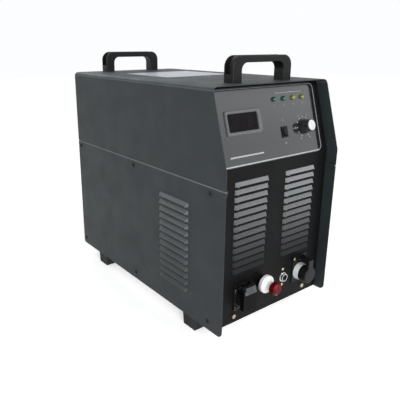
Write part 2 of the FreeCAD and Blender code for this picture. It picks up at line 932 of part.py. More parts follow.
def front_panel():
    """Louvred and drilled front sheet, bent back at the knee and again under the cover."""
    top = "(case_height-top_gap-gauge-knee_height+knee_drop)"
    lean_gauge = "(gauge/cos(%s))" % TILT
    inner_knee = "%s-gauge*(1/cos(%s)-1)/%s" % (PANEL_KNEE, TILT, LEAN)
    low = BOTTOM + "+panel_lift"
    body = profile(
        "front_sheet",
        "YZ",
        [
            (FACE, low),
            (FACE_BACK, low),
            (FACE_BACK, inner_knee),
            ("%s+%s+%s*(%s-gauge)" % (FACE, lean_gauge, LEAN, top), "%s+%s-gauge" % (PANEL_KNEE, top)),
            ("%s+%s*%s+top_return" % (FACE, LEAN, top), "%s+%s-gauge" % (PANEL_KNEE, top)),
            ("%s+%s*%s+top_return" % (FACE, LEAN, top), "%s+%s" % (PANEL_KNEE, top)),
            ("%s+%s*%s" % (FACE, LEAN, top), "%s+%s" % (PANEL_KNEE, top)),
            (FACE, PANEL_KNEE),
        ],
        "-" + HALF_PANEL,
        HALF_PANEL,
    )
    def top_front_edge(p, b):
        return same(p.z, b.ZMax) and p.y < b.YMax - 1
    rounded_body(body, "panel_bend", AXIS_X, top_front_edge)
    solids = [body]
    hollows = []
    for side in (-1, 1):
        x = sorted_pair(side, FLANGE_INSIDE, FLANGE_OUTSIDE)
        y = (FACE + "+gauge/2", FACE + "+front_flange")
        z = (PAN_UNDER + "+pan_flange+fit_gap", PANEL_KNEE + "-fit_gap")
        solids.append(block("front_side_flange", x, y, z))
        for z in (SEAM + "-side_screw_drop",):
            start = "%d*(%s+1)" % (side, FLANGE_OUTSIDE)
            heading = "x" if side < 0 else "-x"
            y = SIDE_SCREWS[0]
            hollows.append(rod("front_flange_hole", "m4_hole", "gauge+2", start, y, z, heading))
        for row in range(size["front_louvre_rows"]):
            z = "%s+front_louvre_low+%d*front_louvre_pitch" % (BOTTOM, row)
            x = "%d*front_louvre_middle" % side
            hood, hollow = louvre("front_louvre", "front_louvre_length", x, FACE, z, False)
            solids.append(hood)
            hollows.append(hollow)
        x = "%d*corner_screw_place" % side
        hollows.append(front_rod("front_corner_hole", "m5_hole", x, "corner_screw_up", ("-gauge-1", "1")))
    through = ("-gauge-1", "1")
    hollows += front_openings(through) + slope_openings("panel", through)
    return cut("front", fuse("front_formed", *solids), *hollows)


def sorted_pair(side, near, far):
    """Low and high X of something between two distances from the middle."""
    return (near, far) if side > 0 else ("-" + far, "-" + near)


def front_openings(through):
    """Holes of the upright front panel for its four connectors and their screws."""
    openings = [
        front_rod("left_hole", "left_back+fit_gap", "left_x", "left_up", through),
        front_rod("terminal_hole", "neck_radius+fit_gap", "terminal_x", "terminal_up", through),
        front_rod("signal_hole", "signal_barrel+fit_gap", "signal_x", "signal_up", through),
        front_rod("right_hole", "right_body+fit_gap", "right_x", "right_up", through),
    ]
    for x, up in LEFT_SCREWS:
        openings.append(front_rod("left_screw_hole", "m4_hole", x, up, through))
    for x, up in RIGHT_SCREWS + SIGNAL_SCREWS:
        openings.append(front_rod("bright_screw_hole", "m3_hole", x, up, through))
    return openings


FOUR = ((-1, -1), (1, -1), (-1, 1), (1, 1))
LEFT_SCREWS = [("left_x+%d*left_screw_x" % sx, "left_up+%d*left_screw_up" % sz) for sx, sz in FOUR]
RIGHT_SCREWS = [
    ("right_x-right_screw_x", "right_up+right_screw_up"),
    ("right_x+right_screw_x", "right_up-right_screw_down"),
]
SIGNAL_SCREWS = [("signal_x", "signal_up+%d*signal_screw" % sz) for sz in (-1, 1)]
FAN_CORNERS = [("%d*fan_corner" % sx, "fan_up+%d*fan_corner" % sz) for sx, sz in FOUR]


def slope_openings(name, through):
    """Holes of the control panel, or of its label, for the meter, lamps, rocker and knob."""
    meter = slope_block(
        name + "_meter_hole",
        ("meter_x-meter_body_width/2-fit_gap", "meter_x+meter_body_width/2+fit_gap"),
        ("meter_up-meter_body_height/2-fit_gap", "meter_up+meter_body_height/2+fit_gap"),
        through,
    )
    rocker_half = "(rocker_width/2-1)"
    rocker_tall = "(rocker_height/2-1)"
    rocker = slope_block(
        name + "_rocker_hole",
        ("rocker_x-" + rocker_half, "rocker_x+" + rocker_half),
        ("rocker_up-" + rocker_tall, "rocker_up+" + rocker_tall),
        through,
    )
    pot = slope_rod(name + "_pot_hole", "bush_radius+fit_gap", "knob_x", "knob_up", through)
    lamps = []
    for number in range(4):
        x = "lamp_first+%d*lamp_pitch" % number
        lamps.append(slope_rod(name + "_lamp_hole", "lamp_radius+fit_gap", x, "lamp_up", through))
    return [meter, rocker, pot] + lamps


def control_label():
    """The printed sheet on the control panel, left bare."""
    sheet_plate = slope_block(
        "label_plate", ("-label_half", "label_half"), ("label_low", "label_high"), ("0", "label_gauge")
    )
    normal = FreeCAD.Vector(0, -math.cos(slope_angle()), math.sin(slope_angle()))
    trimmed = soften("label_round", sheet_plate, "label_corner", (normal, lambda p, b: True))
    return cut("label", trimmed, *slope_openings("label", ("-1", "label_gauge+1")))


def slope_angle():
    """The lean of the control panel from upright, in radians."""
    return math.atan(size["hood_setback"] / (size["case_height"] - size["knee_height"]))


def corner_screws():
    """Hexagon head screws at the lower corners of the front and rear panels."""
    screws = []
    for side in (-1, 1):
        x = "%d*corner_screw_place" % side
        z = BOTTOM + "+corner_screw_up"
        for face, out, back in ((FACE, "-y", "y"), (REAR_FACE, "y", "-y")):
            head = hexagon("corner_head", "hex_head", "hex_head_height", x, face, z, out)
            shank = rod("corner_shank", "m5_shank", "m5_length-4", x, face, z, back)
            screws.append(fuse("corner_screw", head, shank))
    return group("corner_screws", *screws)


def bright_screws():
    """Small bright screws of the signal socket and the right socket."""
    screws = []
    for seat, places in (("flange_plate", RIGHT_SCREWS), ("0", SIGNAL_SCREWS)):
        for x, up in places:
            y = "%s-%s" % (FACE, seat)
            screws.append(pan_screw("bright_screw", x, y, "%s+(%s)" % (BOTTOM, up), "-y", small=True))
    return group("bright_screws", *screws)


def handle(name, y):
    """A moulded bow handle with a channel down each end, which runs on as a groove along its top."""
    half = "handle_length/2"
    width = ("%s-handle_width/2" % y, "%s+handle_width/2" % y)
    beyond = ("%s-handle_width" % y, "%s+handle_width" % y)
    bow = block(name + "_bow", ("-" + half, half), width, (TOP, TOP + "+handle_height"))
    top_ends = (AXIS_Y, lambda p, b: same(p.z, b.ZMax))
    bow = soften(name + "_shoulders", bow, "handle_outer", top_ends)
    rims = (AXIS_X, lambda p, b: same(p.z, b.ZMax))
    bow = soften(name + "_rims", bow, "handle_edge", rims)
    grip_x = ("-(%s-handle_leg)" % half, "%s-handle_leg" % half)
    grip_z = (TOP + "-10", TOP + "+handle_height-handle_bar")
    grip = block(name + "_grip", grip_x, beyond, grip_z)
    grip = soften(name + "_grip_round", grip, "handle_inner", top_ends)
    bow = cut(name + "_arch", bow, grip)
    under = size["floor_gap"] + size["case_height"] + size["handle_height"] - size["handle_bar"]
    under_rims = (AXIS_X, lambda p, b: same(p.z, under))
    bow = soften(name + "_grip_rims", bow, "grip_edge", under_rims)
    trough = block(
        name + "_trough",
        ("-(%s+1)" % half, "%s+1" % half),
        ("%s-channel_width/2" % y, "%s+channel_width/2" % y),
        (TOP + "+channel_low", TOP + "+handle_height+1"),
    )
    bed = block(
        name + "_bed",
        ("-(%s-channel_depth)" % half, "%s-channel_depth" % half),
        beyond,
        (TOP, TOP + "+handle_height-groove_depth"),
    )
    bed = soften(name + "_bed_round", bed, "channel_round", top_ends)
    hollows = [cut(name + "_channel", trough, bed)]
    for side in (-1, 1):
        x = "%d*(handle_length/2-handle_screw_inset)" % side
        hollows.append(rod(name + "_bore", "m5_shank+0.1", "m5_length", x, y, TOP + "-1", "z"))
    return cut(name, bow, *hollows)


def top_plate():
    """The thin plate on the cover between the handles, left bare."""
    y = (FRONT + "+plate_front", FRONT + "+plate_rear")
    return block("plate_sheet", ("plate_left", "plate_right"), y, (TOP, TOP + "+plate_gauge"))


def meter_pieces():
    """Bezel, window and body of the current meter."""
    def frame(width, height):
        x = ("meter_x-%s/2" % width, "meter_x+%s/2" % width)
        up = ("meter_up-%s/2" % height, "meter_up+%s/2" % height)
        return x, up
    out = ("label_gauge", "label_gauge+meter_stand")
    outer = slope_block("bezel_outer", *frame("meter_width", "meter_height"), out)
    lean = slope_angle()
    up_slope = FreeCAD.Vector(0, math.sin(lean), math.cos(lean))
    normal = FreeCAD.Vector(0, -math.cos(lean), math.sin(lean))
    def front_edges(p, b):
        centre = FreeCAD.Vector(b.Center)
        return (p - centre).dot(normal) > size["meter_stand"] / 2 - 0.01
    choices = ((AXIS_X, front_edges), (up_slope, front_edges))
    outer = soften("bezel_soft", outer, "bezel_chamfer", *choices, kind="Part::Chamfer")
    x, up = frame("view_width", "view_height")
    opening = slope_block("bezel_opening", x, up, ("0", "label_gauge+meter_stand+1"))
    node(cut("bezel", outer, opening), "meter_bezel")
    x, up = frame("(view_width-fit_gap)", "(view_height-fit_gap)")
    pane_low = "label_gauge+meter_stand-2.5-window_gauge"
    node(slope_block("pane", x, up, (pane_low, "label_gauge+meter_stand-2.5")), "meter_window")
    x, up = frame("meter_body_width", "meter_body_height")
    case = slope_block("meter_case", x, up, ("-meter_depth", "label_gauge"))
    x, up = frame("(view_width-2*fit_gap)", "(view_height-2*fit_gap)")
    face = slope_block("meter_face", x, up, ("0", pane_low + "-0.1"))
    node(fuse("meter_case_and_face", case, face), "meter_body")


def lamps(name, first):
    """Two domed lamp lenses side by side."""
    lenses = []
    for number in (first, first + 1):
        x = "lamp_first+%d*lamp_pitch" % number
        top = "label_gauge+lamp_stem"
        stem = slope_rod(name + "_stem", "lamp_radius", x, "lamp_up", ("-lamp_back", top))
        dome = doc.addObject("Part::Sphere", name + "_dome")
        bind(dome, "Radius", "lamp_radius")
        dome.Angle1 = 0
        on_slope(dome, x, "lamp_up", top)
        collar_out = ("-lamp_back-1", "-lamp_back")
        collar = slope_rod(name + "_collar", "lamp_radius+1", x, "lamp_up", collar_out)
        lenses.append(fuse(name + "_lens", stem, dome, collar))
    return group(name, *lenses)


def control_board():
    """The board behind the control panel, parallel to it, with its four spacers."""
    out = ("-board_back-board_gauge", "-board_back")
    plate = slope_block("board_plate", ("board_left", "board_right"), ("board_low", "board_high"), out)
    posts = []
    for x in ("board_left+spacer_inset", "board_right-spacer_inset"):
        for up in ("board_low+spacer_inset", "board_high-spacer_inset"):
            posts.append(slope_rod("control_spacer", "spacer_radius", x, up, ("-board_back-1", "-gauge")))
    return fuse("board", plate, *posts)


SINK_FRONT = "(-sink_front)"
SINK_REAR = "sink_rear"
POWER_SPACER_X = "(sink_gap/2+sink_width-power_spacer_inset)"


def rocker():
    """Housing and button of the rocker switch."""
    stand = "label_gauge+rocker_stand"
    def frame(width, height):
        x = ("rocker_x-%s/2" % width, "rocker_x+%s/2" % width)
        up = ("rocker_up-%s/2" % height, "rocker_up+%s/2" % height)
        return x, up
    rim = slope_block("rocker_rim", *frame("rocker_width", "rocker_height"), ("label_gauge", stand))
    body_frame = frame("(rocker_width-2-2*fit_gap)", "(rocker_height-2-2*fit_gap)")
    body = slope_block("rocker_case", *body_frame, ("-rocker_depth", "label_gauge"))
    x, up = frame("rocker_open_width", "rocker_open_height")
    well = slope_block("rocker_well", x, up, ("-rocker_well", stand + "+1"))
    def pin(name, radius, length):
        item = doc.addObject("Part::Cylinder", name)
        bind(item, "Radius", radius)
        bind(item, "Height", length)
        item.Placement.Rotation = HEADINGS["x"]
        out = "(-button_pivot)"
        bind(item, "Placement.Base.x", "rocker_x-(%s)/2" % length)
        bind(item, "Placement.Base.y", "%s+rocker_up*sin(%s)-%s*cos(%s)" % (FACE, TILT, out, TILT))
        bind(item, "Placement.Base.z", "%s+rocker_up*cos(%s)+%s*sin(%s)" % (PANEL_KNEE, TILT, out, TILT))
        return item
    socket = pin("rocker_pin_hole", "button_pin+button_play", "rocker_open_width+2")
    node(cut("rocker_body", fuse("rocker_shell", rim, body), well, socket), "rocker_housing")
    cap = doc.addObject("Part::Box", "button_cap")
    bind(cap, "Length", "button_width")
    bind(cap, "Width", "button_height")
    bind(cap, "Height", "button_back+button_stand")
    turn = "(%s+button_tilt*1 deg)" % TILT
    cap.Placement = FreeCAD.Placement(FreeCAD.Vector(), FreeCAD.Rotation(AXIS_X, 80))
    bind(cap, "Placement.Rotation.Angle", "90 deg-" + turn)
    pivot_y = "%s+rocker_up*sin(%s)+button_pivot*cos(%s)" % (FACE, TILT, TILT)
    pivot_z = "%s+rocker_up*cos(%s)-button_pivot*sin(%s)" % (PANEL_KNEE, TILT, TILT)
    bind(cap, "Placement.Base.x", "rocker_x-button_width/2")
    bind(cap, "Placement.Base.y", "%s-button_height/2*sin(%s)+button_back*cos(%s)" % (pivot_y, turn, turn))
    bind(cap, "Placement.Base.z", "%s-button_height/2*cos(%s)-button_back*sin(%s)" % (pivot_z, turn, turn))
    axle = pin("button_axle", "button_pin", "rocker_open_width+1.4")
    node(fuse("button", cap, axle), "rocker_button")


def knob():
    """The current knob, its bright cap, the potentiometer and its shaft."""
    base = "label_gauge+0.5"
    skirt_top = base + "+skirt_height"
    tip = base + "+knob_length"
    skirt = slope_rod("knob_skirt", "skirt_radius", "knob_x", "knob_up", (base, skirt_top))
    grip = doc.addObject("Part::Cone", "knob_grip")
    bind(grip, "Radius1", "knob_radius")
    bind(grip, "Radius2", "knob_tip")
    bind(grip, "Height", "knob_length-skirt_height")
    on_slope(grip, "knob_x", "knob_up", skirt_top)
    flutes = []
    for number in range(size["flute_count"]):
        angle = "%d*360/flute_count" % number
        x = "knob_x+(knob_radius+flute_radius*0.35)*cos(%s)" % angle
        up = "knob_up+(knob_radius+flute_radius*0.35)*sin(%s)" % angle
        flutes.append(slope_rod("knob_flute", "flute_radius", x, up, (skirt_top, tip + "+1")))
    under = slope_rod("knob_under", "knob_under", "knob_x", "knob_up", ("0", base + "+4"))
    bore = slope_rod("knob_bore", "shaft_radius+shaft_play", "knob_x", "knob_up", ("0", tip + "-3"))
    seat = slope_rod("knob_seat", "cap_radius+0.1", "knob_x", "knob_up", (tip + "-cap_sink", tip + "+1"))
    node(cut("knob_body", fuse("knob_solid", skirt, grip), under, bore, seat, *flutes), "current_knob")
    cap_out = (tip + "-cap_sink", tip + "-cap_sink+cap_gauge")
    cap = slope_rod("cap_disc", "cap_radius", "knob_x", "knob_up", cap_out)
    node(cap, "knob_cap")
    can = slope_rod("pot_can", "pot_radius", "knob_x", "knob_up", ("-gauge-pot_depth", "-gauge"))
    bush_top = "label_gauge+pot_nut_height+1"
    bush = slope_rod("pot_bush", "bush_radius", "knob_x", "knob_up", ("-gauge-1", bush_top))
    nut = doc.addObject("Part::Prism", "pot_nut")
    nut.Polygon = 6
    bind(nut, "Circumradius", "pot_nut")
    bind(nut, "Height", "pot_nut_height")
    on_slope(nut, "knob_x", "knob_up", "label_gauge")
    hole_out = ("-gauge-pot_depth+1", bush_top + "+1")
    hole = slope_rod("pot_bore", "shaft_radius+shaft_play", "knob_x", "knob_up", hole_out)
    node(cut("pot", fuse("pot_solid", can, bush, nut), hole), "potentiometer")
    shaft_out = ("-gauge-pot_depth+1.2", tip + "-3.5")
    node(slope_rod("pot_spindle", "shaft_radius", "knob_x", "knob_up", shaft_out), "potentiometer_shaft")


def hinge_rod(name, side, radius, length):
    """A rod on a lid's hinge axis, centred on the left or the right socket."""
    z = "%s+%s_up+%s_hinge" % (BOTTOM, side, side)
    return rod(name, radius, length, "%s_x-(%s)/2" % (side, length), FACE + "-hinge_out", z, "x")


def ears(side):
    """Two hinge ears above a socket, and the rod that bores them for the lid's pin."""
    pieces = []
    near = "(%s_knuckle/2+ear_play)" % side
    far = "(%s_knuckle/2+ear_play+ear_width)" % side
    axis = "%s_up+%s_hinge" % (side, side)
    for way in (-1, 1):
        pair = sorted_pair(way, near, far)
        span = (side + "_x+" + pair[0], side + "_x+" + pair[1])
        tall = (axis + "-ear_radius", axis + "+ear_radius")
        pieces.append(front_block(side + "_ear", span, tall, ("0", "hinge_out")))
        y = FACE + "-hinge_out"
        z = "%s+%s" % (BOTTOM, axis)
        pieces.append(rod(side + "_ear_nose", "ear_radius", "ear_width", span[0], y, z, "x"))
    return pieces, hinge_rod(side + "_ear_hole", side, "lid_pin+pin_play", "2*%s+2" % far)


def lid_knuckle(side, far):
    """The knuckle of a lid and the arm that runs straight out from it."""
    knuckle = hinge_rod(side + "_knuckle_barrel", side, "ear_radius", side + "_knuckle")
    half = side + "_knuckle/2"
    axis = "%s_up+%s_hinge" % (side, side)
    span = ("%s_x-%s" % (side, half), "%s_x+%s" % (side, half))
    tall = (axis + "-ear_radius", axis + "+ear_radius")
    arm = front_block(side + "_arm", span, tall, ("hinge_out", far))
    hole = hinge_rod(side + "_lid_hole", side, "lid_pin+pin_play", side + "_knuckle+2")
    return [knuckle, arm], hole


def left_socket():
    """A square flanged supply socket under a sprung lid with a sloping top."""
    plate = front_block(
        "left_plate",
        ("left_x-left_flange", "left_x+left_flange"),
        ("left_up-left_flange", "left_up+left_hinge+ear_radius"),
        ("0", "flange_plate"),
    )
    barrel = front_rod("left_barrel", "left_barrel", "left_x", "left_up", ("0", "left_stand"))
    back = front_rod("left_rear", "left_back", "left_x", "left_up", ("-left_depth", "1"))
    bore = front_rod("left_bore", "left_bore", "left_x", "left_up", ("-left_depth/2", "left_stand+1"))
    hinge, hole = ears("left")
    contacts = []
    for sx, sz in FOUR:
        x = "left_x+%d*contact_circle*0.7071" % sx
        up = "left_up+%d*contact_circle*0.7071" % sz
        contacts.append(front_rod("contact", "contact_radius", x, up, ("-left_depth/2-1", "0")))
    through = ("-1", "flange_plate+1")
    holes = [front_rod("left_screw_bore", "m4_hole", x, up, through) for x, up in LEFT_SCREWS]
    seats = [
        front_rod("left_head_room", "pan_head+fit_gap", x, up, ("flange_plate", "left_stand+1"))
        for x, up in LEFT_SCREWS
    ]
    shell = cut("left_shell", fuse("left_solid", plate, barrel, back, *hinge), bore, hole, *holes, *seats)
    node(fuse("left_whole", shell, *contacts), "left_socket")
    near = "left_stand+lid_play"
    far = near + "+left_lid_gauge"
    half = "left_lid_side/2"
    span = ("left_x-" + half, "left_x+" + half)
    tall = ("left_up-left_lid_low", "left_up+left_hinge+ear_radius")
    cap = front_block("left_cap", span, tall, (near, far))
    top_front = (AXIS_X, lambda p, b: same(p.z, b.ZMax) and same(p.y, b.YMin))
    cap = soften("left_cap_slope", cap, "left_lid_slope", top_front, kind="Part::Chamfer")
    low_corners = (AXIS_Y, lambda p, b: same(p.z, b.ZMin))
    cap = soften("left_cap_round", cap, "ear_radius", low_corners)
    solids, pin_hole = lid_knuckle("left", near + "+1")
    node(cut("left_lid", fuse("left_lid_solid", cap, *solids), pin_hole), "left_socket_lid")


def right_socket():
    """The torch connector: a flanged body, a white coupling ring and a round lid with a tab."""
    plate = front_block(
        "right_plate",
        ("right_x-right_half", "right_x+right_half"),
        ("right_up-right_low", "right_up+right_high"),
        ("0", "flange_plate"),
    )
    front = "flange_plate+ring_length"
    body_out = ("-right_depth", "flange_plate")
    body = front_rod("right_barrel", "right_body", "right_x", "right_up", body_out)
    bore_out = ("-right_depth/2", front + "+1")
    bore = front_rod("right_bore", "right_bore", "right_x", "right_up", bore_out)
    nipple_out = ("-right_depth-14", "-right_depth+1")
    nipple = front_rod("right_nipple", "hose_radius+1", "right_x", "right_up", nipple_out)
    core_out = ("-right_depth/2-1", "flange_plate+1")
    core = front_rod("right_core", "contact_radius+1", "right_x", "right_up", core_out)
    hinge, hole = ears("right")
    screw_out = ("-1", "flange_plate+1")
    holes = [front_rod("right_screw_bore", "m3_hole", x, up, screw_out) for x, up in RIGHT_SCREWS]
    shell = cut("right_shell", fuse("right_solid", plate, body, nipple, *hinge), bore, hole, *holes)
    node(fuse("right_whole", shell, core), "right_socket")
    ring = cone(
        "ring_outer",
        "ring_radius",
        "ring_tip",
        "ring_length",
        "right_x",
        FACE + "-flange_plate",
        BOTTOM + "+right_up",
        "-y",
    )
    through = ("flange_plate-1", front + "+1")
    inside = front_rod("ring_inner", "right_bore", "right_x", "right_up", through)
    screw_room = [
        front_rod("ring_relief", "m3_head+fit_gap", x, up, ("0", "flange_plate+m3_head_height+fit_gap"))
        for x, up in RIGHT_SCREWS
    ]
    node(cut("ring", ring, inside, *screw_room), "right_socket_ring")
    near = front + "+lid_play"
    far = near + "+right_lid_length"
    cap = front_rod("right_cap", "right_lid_radius", "right_x", "right_up", (near, far))
    doc.recompute()
    rim = doc.addObject("Part::Fillet", "right_cap_soft")
    rim.Base = cap
    rim.Edges = front_circle(cap, "right_lid_edge")
    solids, pin_hole = lid_knuckle("right", far)
    tab = front_block(
        "right_tab",
        ("right_x-right_knuckle/2", "right_x+right_knuckle/2"),
        ("right_up+right_lid_radius-4", "right_up+right_hinge+ear_radius"),
        (far + "-tab_gauge", far),
    )
    node(cut("right_lid", fuse("right_lid_solid", rim, tab, *solids), pin_hole), "right_socket_lid")


def front_circle(item, radius):
    """The round edge nearest the viewer of a cylinder on the front panel, for a fillet."""
    low = item.Shape.BoundBox.YMin
    return [
        (number, size[radius], size[radius])
        for number, edge in enumerate(item.Shape.Edges, 1)
        if same(edge.BoundBox.YMin, low) and edge.BoundBox.YLength < 1e-6
    ]


def lid_pins():
    """The hinge pins of the two socket lids."""
    length = "%s_knuckle+2*ear_play+2*ear_width"
    pins = [hinge_rod("lid_pin_rod", side, "lid_pin", length % side) for side in ("left", "right")]
    return group("lid_pins", *pins)


def terminal():
    """An insulated stud terminal: a black base, a white bush, a brass stud and a red thumb nut.

    The bush is a disc with a collar, and the stud's shoulder holds it from the collar's front end.
    """
    seat = "base_length+disc_length"
    collar_end = seat + "+collar_height"
    shoulder_start = collar_end + "-shoulder_length"
    hole_out = ("-gauge-12", collar_end + "+1")
    neck = front_rod("base_neck", "neck_radius", "terminal_x", "terminal_up", ("-gauge-8", "1"))
    base = front_rod("base_round", "base_radius", "terminal_x", "terminal_up", ("0", "base_length"))
    hole = front_rod("base_hole", "stud_radius+fit_gap", "terminal_x", "terminal_up", hole_out)
    node(cut("base", fuse("base_solid", neck, base), hole), "terminal_base")
    bush_out = ("base_length", "base_length+disc_length")
    bush = front_rod("bush_disc", "disc_radius", "terminal_x", "terminal_up", bush_out)
    doc.recompute()
    rim = doc.addObject("Part::Fillet", "bush_soft")
    rim.Base = bush
    rim.Edges = front_circle(bush, "disc_edge")
    collar_out = (seat + "-1", collar_end)
    collar = front_rod("bush_collar", "collar_radius", "terminal_x", "terminal_up", collar_out)
    hole = front_rod("bush_hole", "stud_radius+fit_gap", "terminal_x", "terminal_up", hole_out)
    room_out = (shoulder_start, collar_end + "+1")
    room = front_rod("bush_room", "shoulder_radius+fit_gap", "terminal_x", "terminal_up", room_out)
    node(cut("bush", fuse("bush_solid", rim, collar), hole, room), "terminal_bush")
    nut_start = collar_end + "+red_gap"
    stud_out = ("-stud_back", nut_start + "+red_length-3")
    stud = front_rod("stud_rod", "stud_radius", "terminal_x", "terminal_up", stud_out)
    shoulder_out = (shoulder_start, collar_end)
    shoulder = front_rod("stud_shoulder", "shoulder_radius", "terminal_x", "terminal_up", shoulder_out)
    nut_y = FACE_BACK + "+8"
    nut_z = BOTTOM + "+terminal_up"
    back_nut = hexagon("stud_back_nut", "collar_radius", "6", "terminal_x", nut_y, nut_z, "y")
    node(fuse("stud", stud, shoulder, back_nut), "terminal_stud")
    grip = doc.addObject("Part::Prism", "red_grip")
    bind(grip, "Polygon", "red_facets")
    bind(grip, "Circumradius", "red_radius")
    bind(grip, "Height", "red_length")
    grip.Placement.Rotation = HEADINGS["-y"]
    place(grip, "terminal_x", "%s-(%s)" % (FACE, nut_start), BOTTOM + "+terminal_up")
    doc.recompute()
    low = grip.Shape.BoundBox.YMin
    soft = doc.addObject("Part::Chamfer", "red_soft")
    soft.Base = grip
    soft.Edges = [
        (number, size["red_edge"], size["red_edge"])
        for number, edge in enumerate(grip.Shape.Edges, 1)
        if same(edge.CenterOfMass.y, low)
    ]
    bore_out = (nut_start + "-1", nut_start + "+red_length-2.5")
    bore = front_rod("red_bore", "stud_radius+nut_play", "terminal_x", "terminal_up", bore_out)
    node(cut("red_nut", soft, bore), "terminal_cap")


def signal_socket():
    """The small round socket for the torch trigger: bright shell and black insert."""
    flange_out = ("0", "signal_flange_gauge")
    flange = front_rod("signal_flange", "signal_flange", "signal_x", "signal_up", flange_out)
    barrel_out = ("-signal_depth", "signal_stand")
    barrel = front_rod("signal_barrel", "signal_barrel", "signal_x", "signal_up", barrel_out)
    bore_out = ("-signal_depth-1", "signal_stand+1")
    bore = front_rod("signal_bore", "signal_bore+0.1", "signal_x", "signal_up", bore_out)
    node(cut("signal_shell", fuse("signal_solid", flange, barrel), bore), "signal_socket")
    plug_out = ("-signal_depth", "signal_stand-4")
    plug = front_rod("signal_plug", "signal_bore", "signal_x", "signal_up", plug_out)
    pins = []
    for number in range(3):
        angle = "%d*120+90" % number
        x = "signal_x+3.4*cos(%s)" % angle
        up = "signal_up+3.4*sin(%s)" % angle
        pins.append(front_rod("signal_pin", "0.8", x, up, ("-signal_depth", "signal_stand-1")))
    node(fuse("signal_insert", plug, *pins), "signal_socket_insert")


def rear_panel():
    """The flat rear sheet with its fan opening, fittings and edge flanges."""
    top = "case_height-top_gap-gauge"
    wide = ("-" + HALF_PANEL, HALF_PANEL)
    sheet_plate = rear_block("rear_sheet", wide, ("panel_lift", top), ("-gauge", "0"))
    fold = rear_block("rear_top_fold", wide, (top + "-gauge", top), ("-rear_return", "0"))
    solids = [sheet_plate, fold]
    through = ("-gauge-1", "1")
    holes = [
        rear_rod("fan_hole", "fan_wall", "0", "fan_up", through),
        rear_block(
            "breaker_hole",
            ("breaker_x-breaker_width/2-fit_gap", "breaker_x+breaker_width/2+fit_gap"),
            ("breaker_up-nose_height/2-fit_gap", "breaker_up+nose_height/2+fit_gap"),
            through,
        ),
        rear_rod("gland_hole", "gland_thread+fit_gap", "gland_x", "gland_up", through),
        rear_rod("inlet_hole", "inlet_barb+1.5+fit_gap", "inlet_x", "inlet_up", through),
        rear_rod("earth_hole", "earth_radius+fit_gap", "earth_x", "earth_up", through),
    ]
    for side in (-1, 1):
        x = sorted_pair(side, FLANGE_INSIDE, FLANGE_OUTSIDE)
        flange = block(
            "rear_side_flange",
            x,
            (REAR_FACE + "-rear_flange", REAR_FACE + "-gauge/2"),
            (PAN_UNDER + "+pan_flange+fit_gap", TOP + "-gauge-top_gap-gauge"),
        )
        solids.append(flange)
        start = "%d*(%s+1)" % (side, FLANGE_OUTSIDE)
        heading = "x" if side < 0 else "-x"
        z = SEAM + "-side_screw_drop"
        holes.append(rod("rear_flange_hole", "m4_hole", "gauge+2", start, SIDE_SCREWS[2], z, heading))
        x = "%d*corner_screw_place" % side
        holes.append(rear_rod("rear_corner_hole", "m5_hole", x, "corner_screw_up", through))
    for x, up in FAN_CORNERS:
        holes.append(rear_rod("fan_screw_hole", "m4_hole", x, up, through))
    return cut("rear", fuse("rear_formed", *solids), *holes)


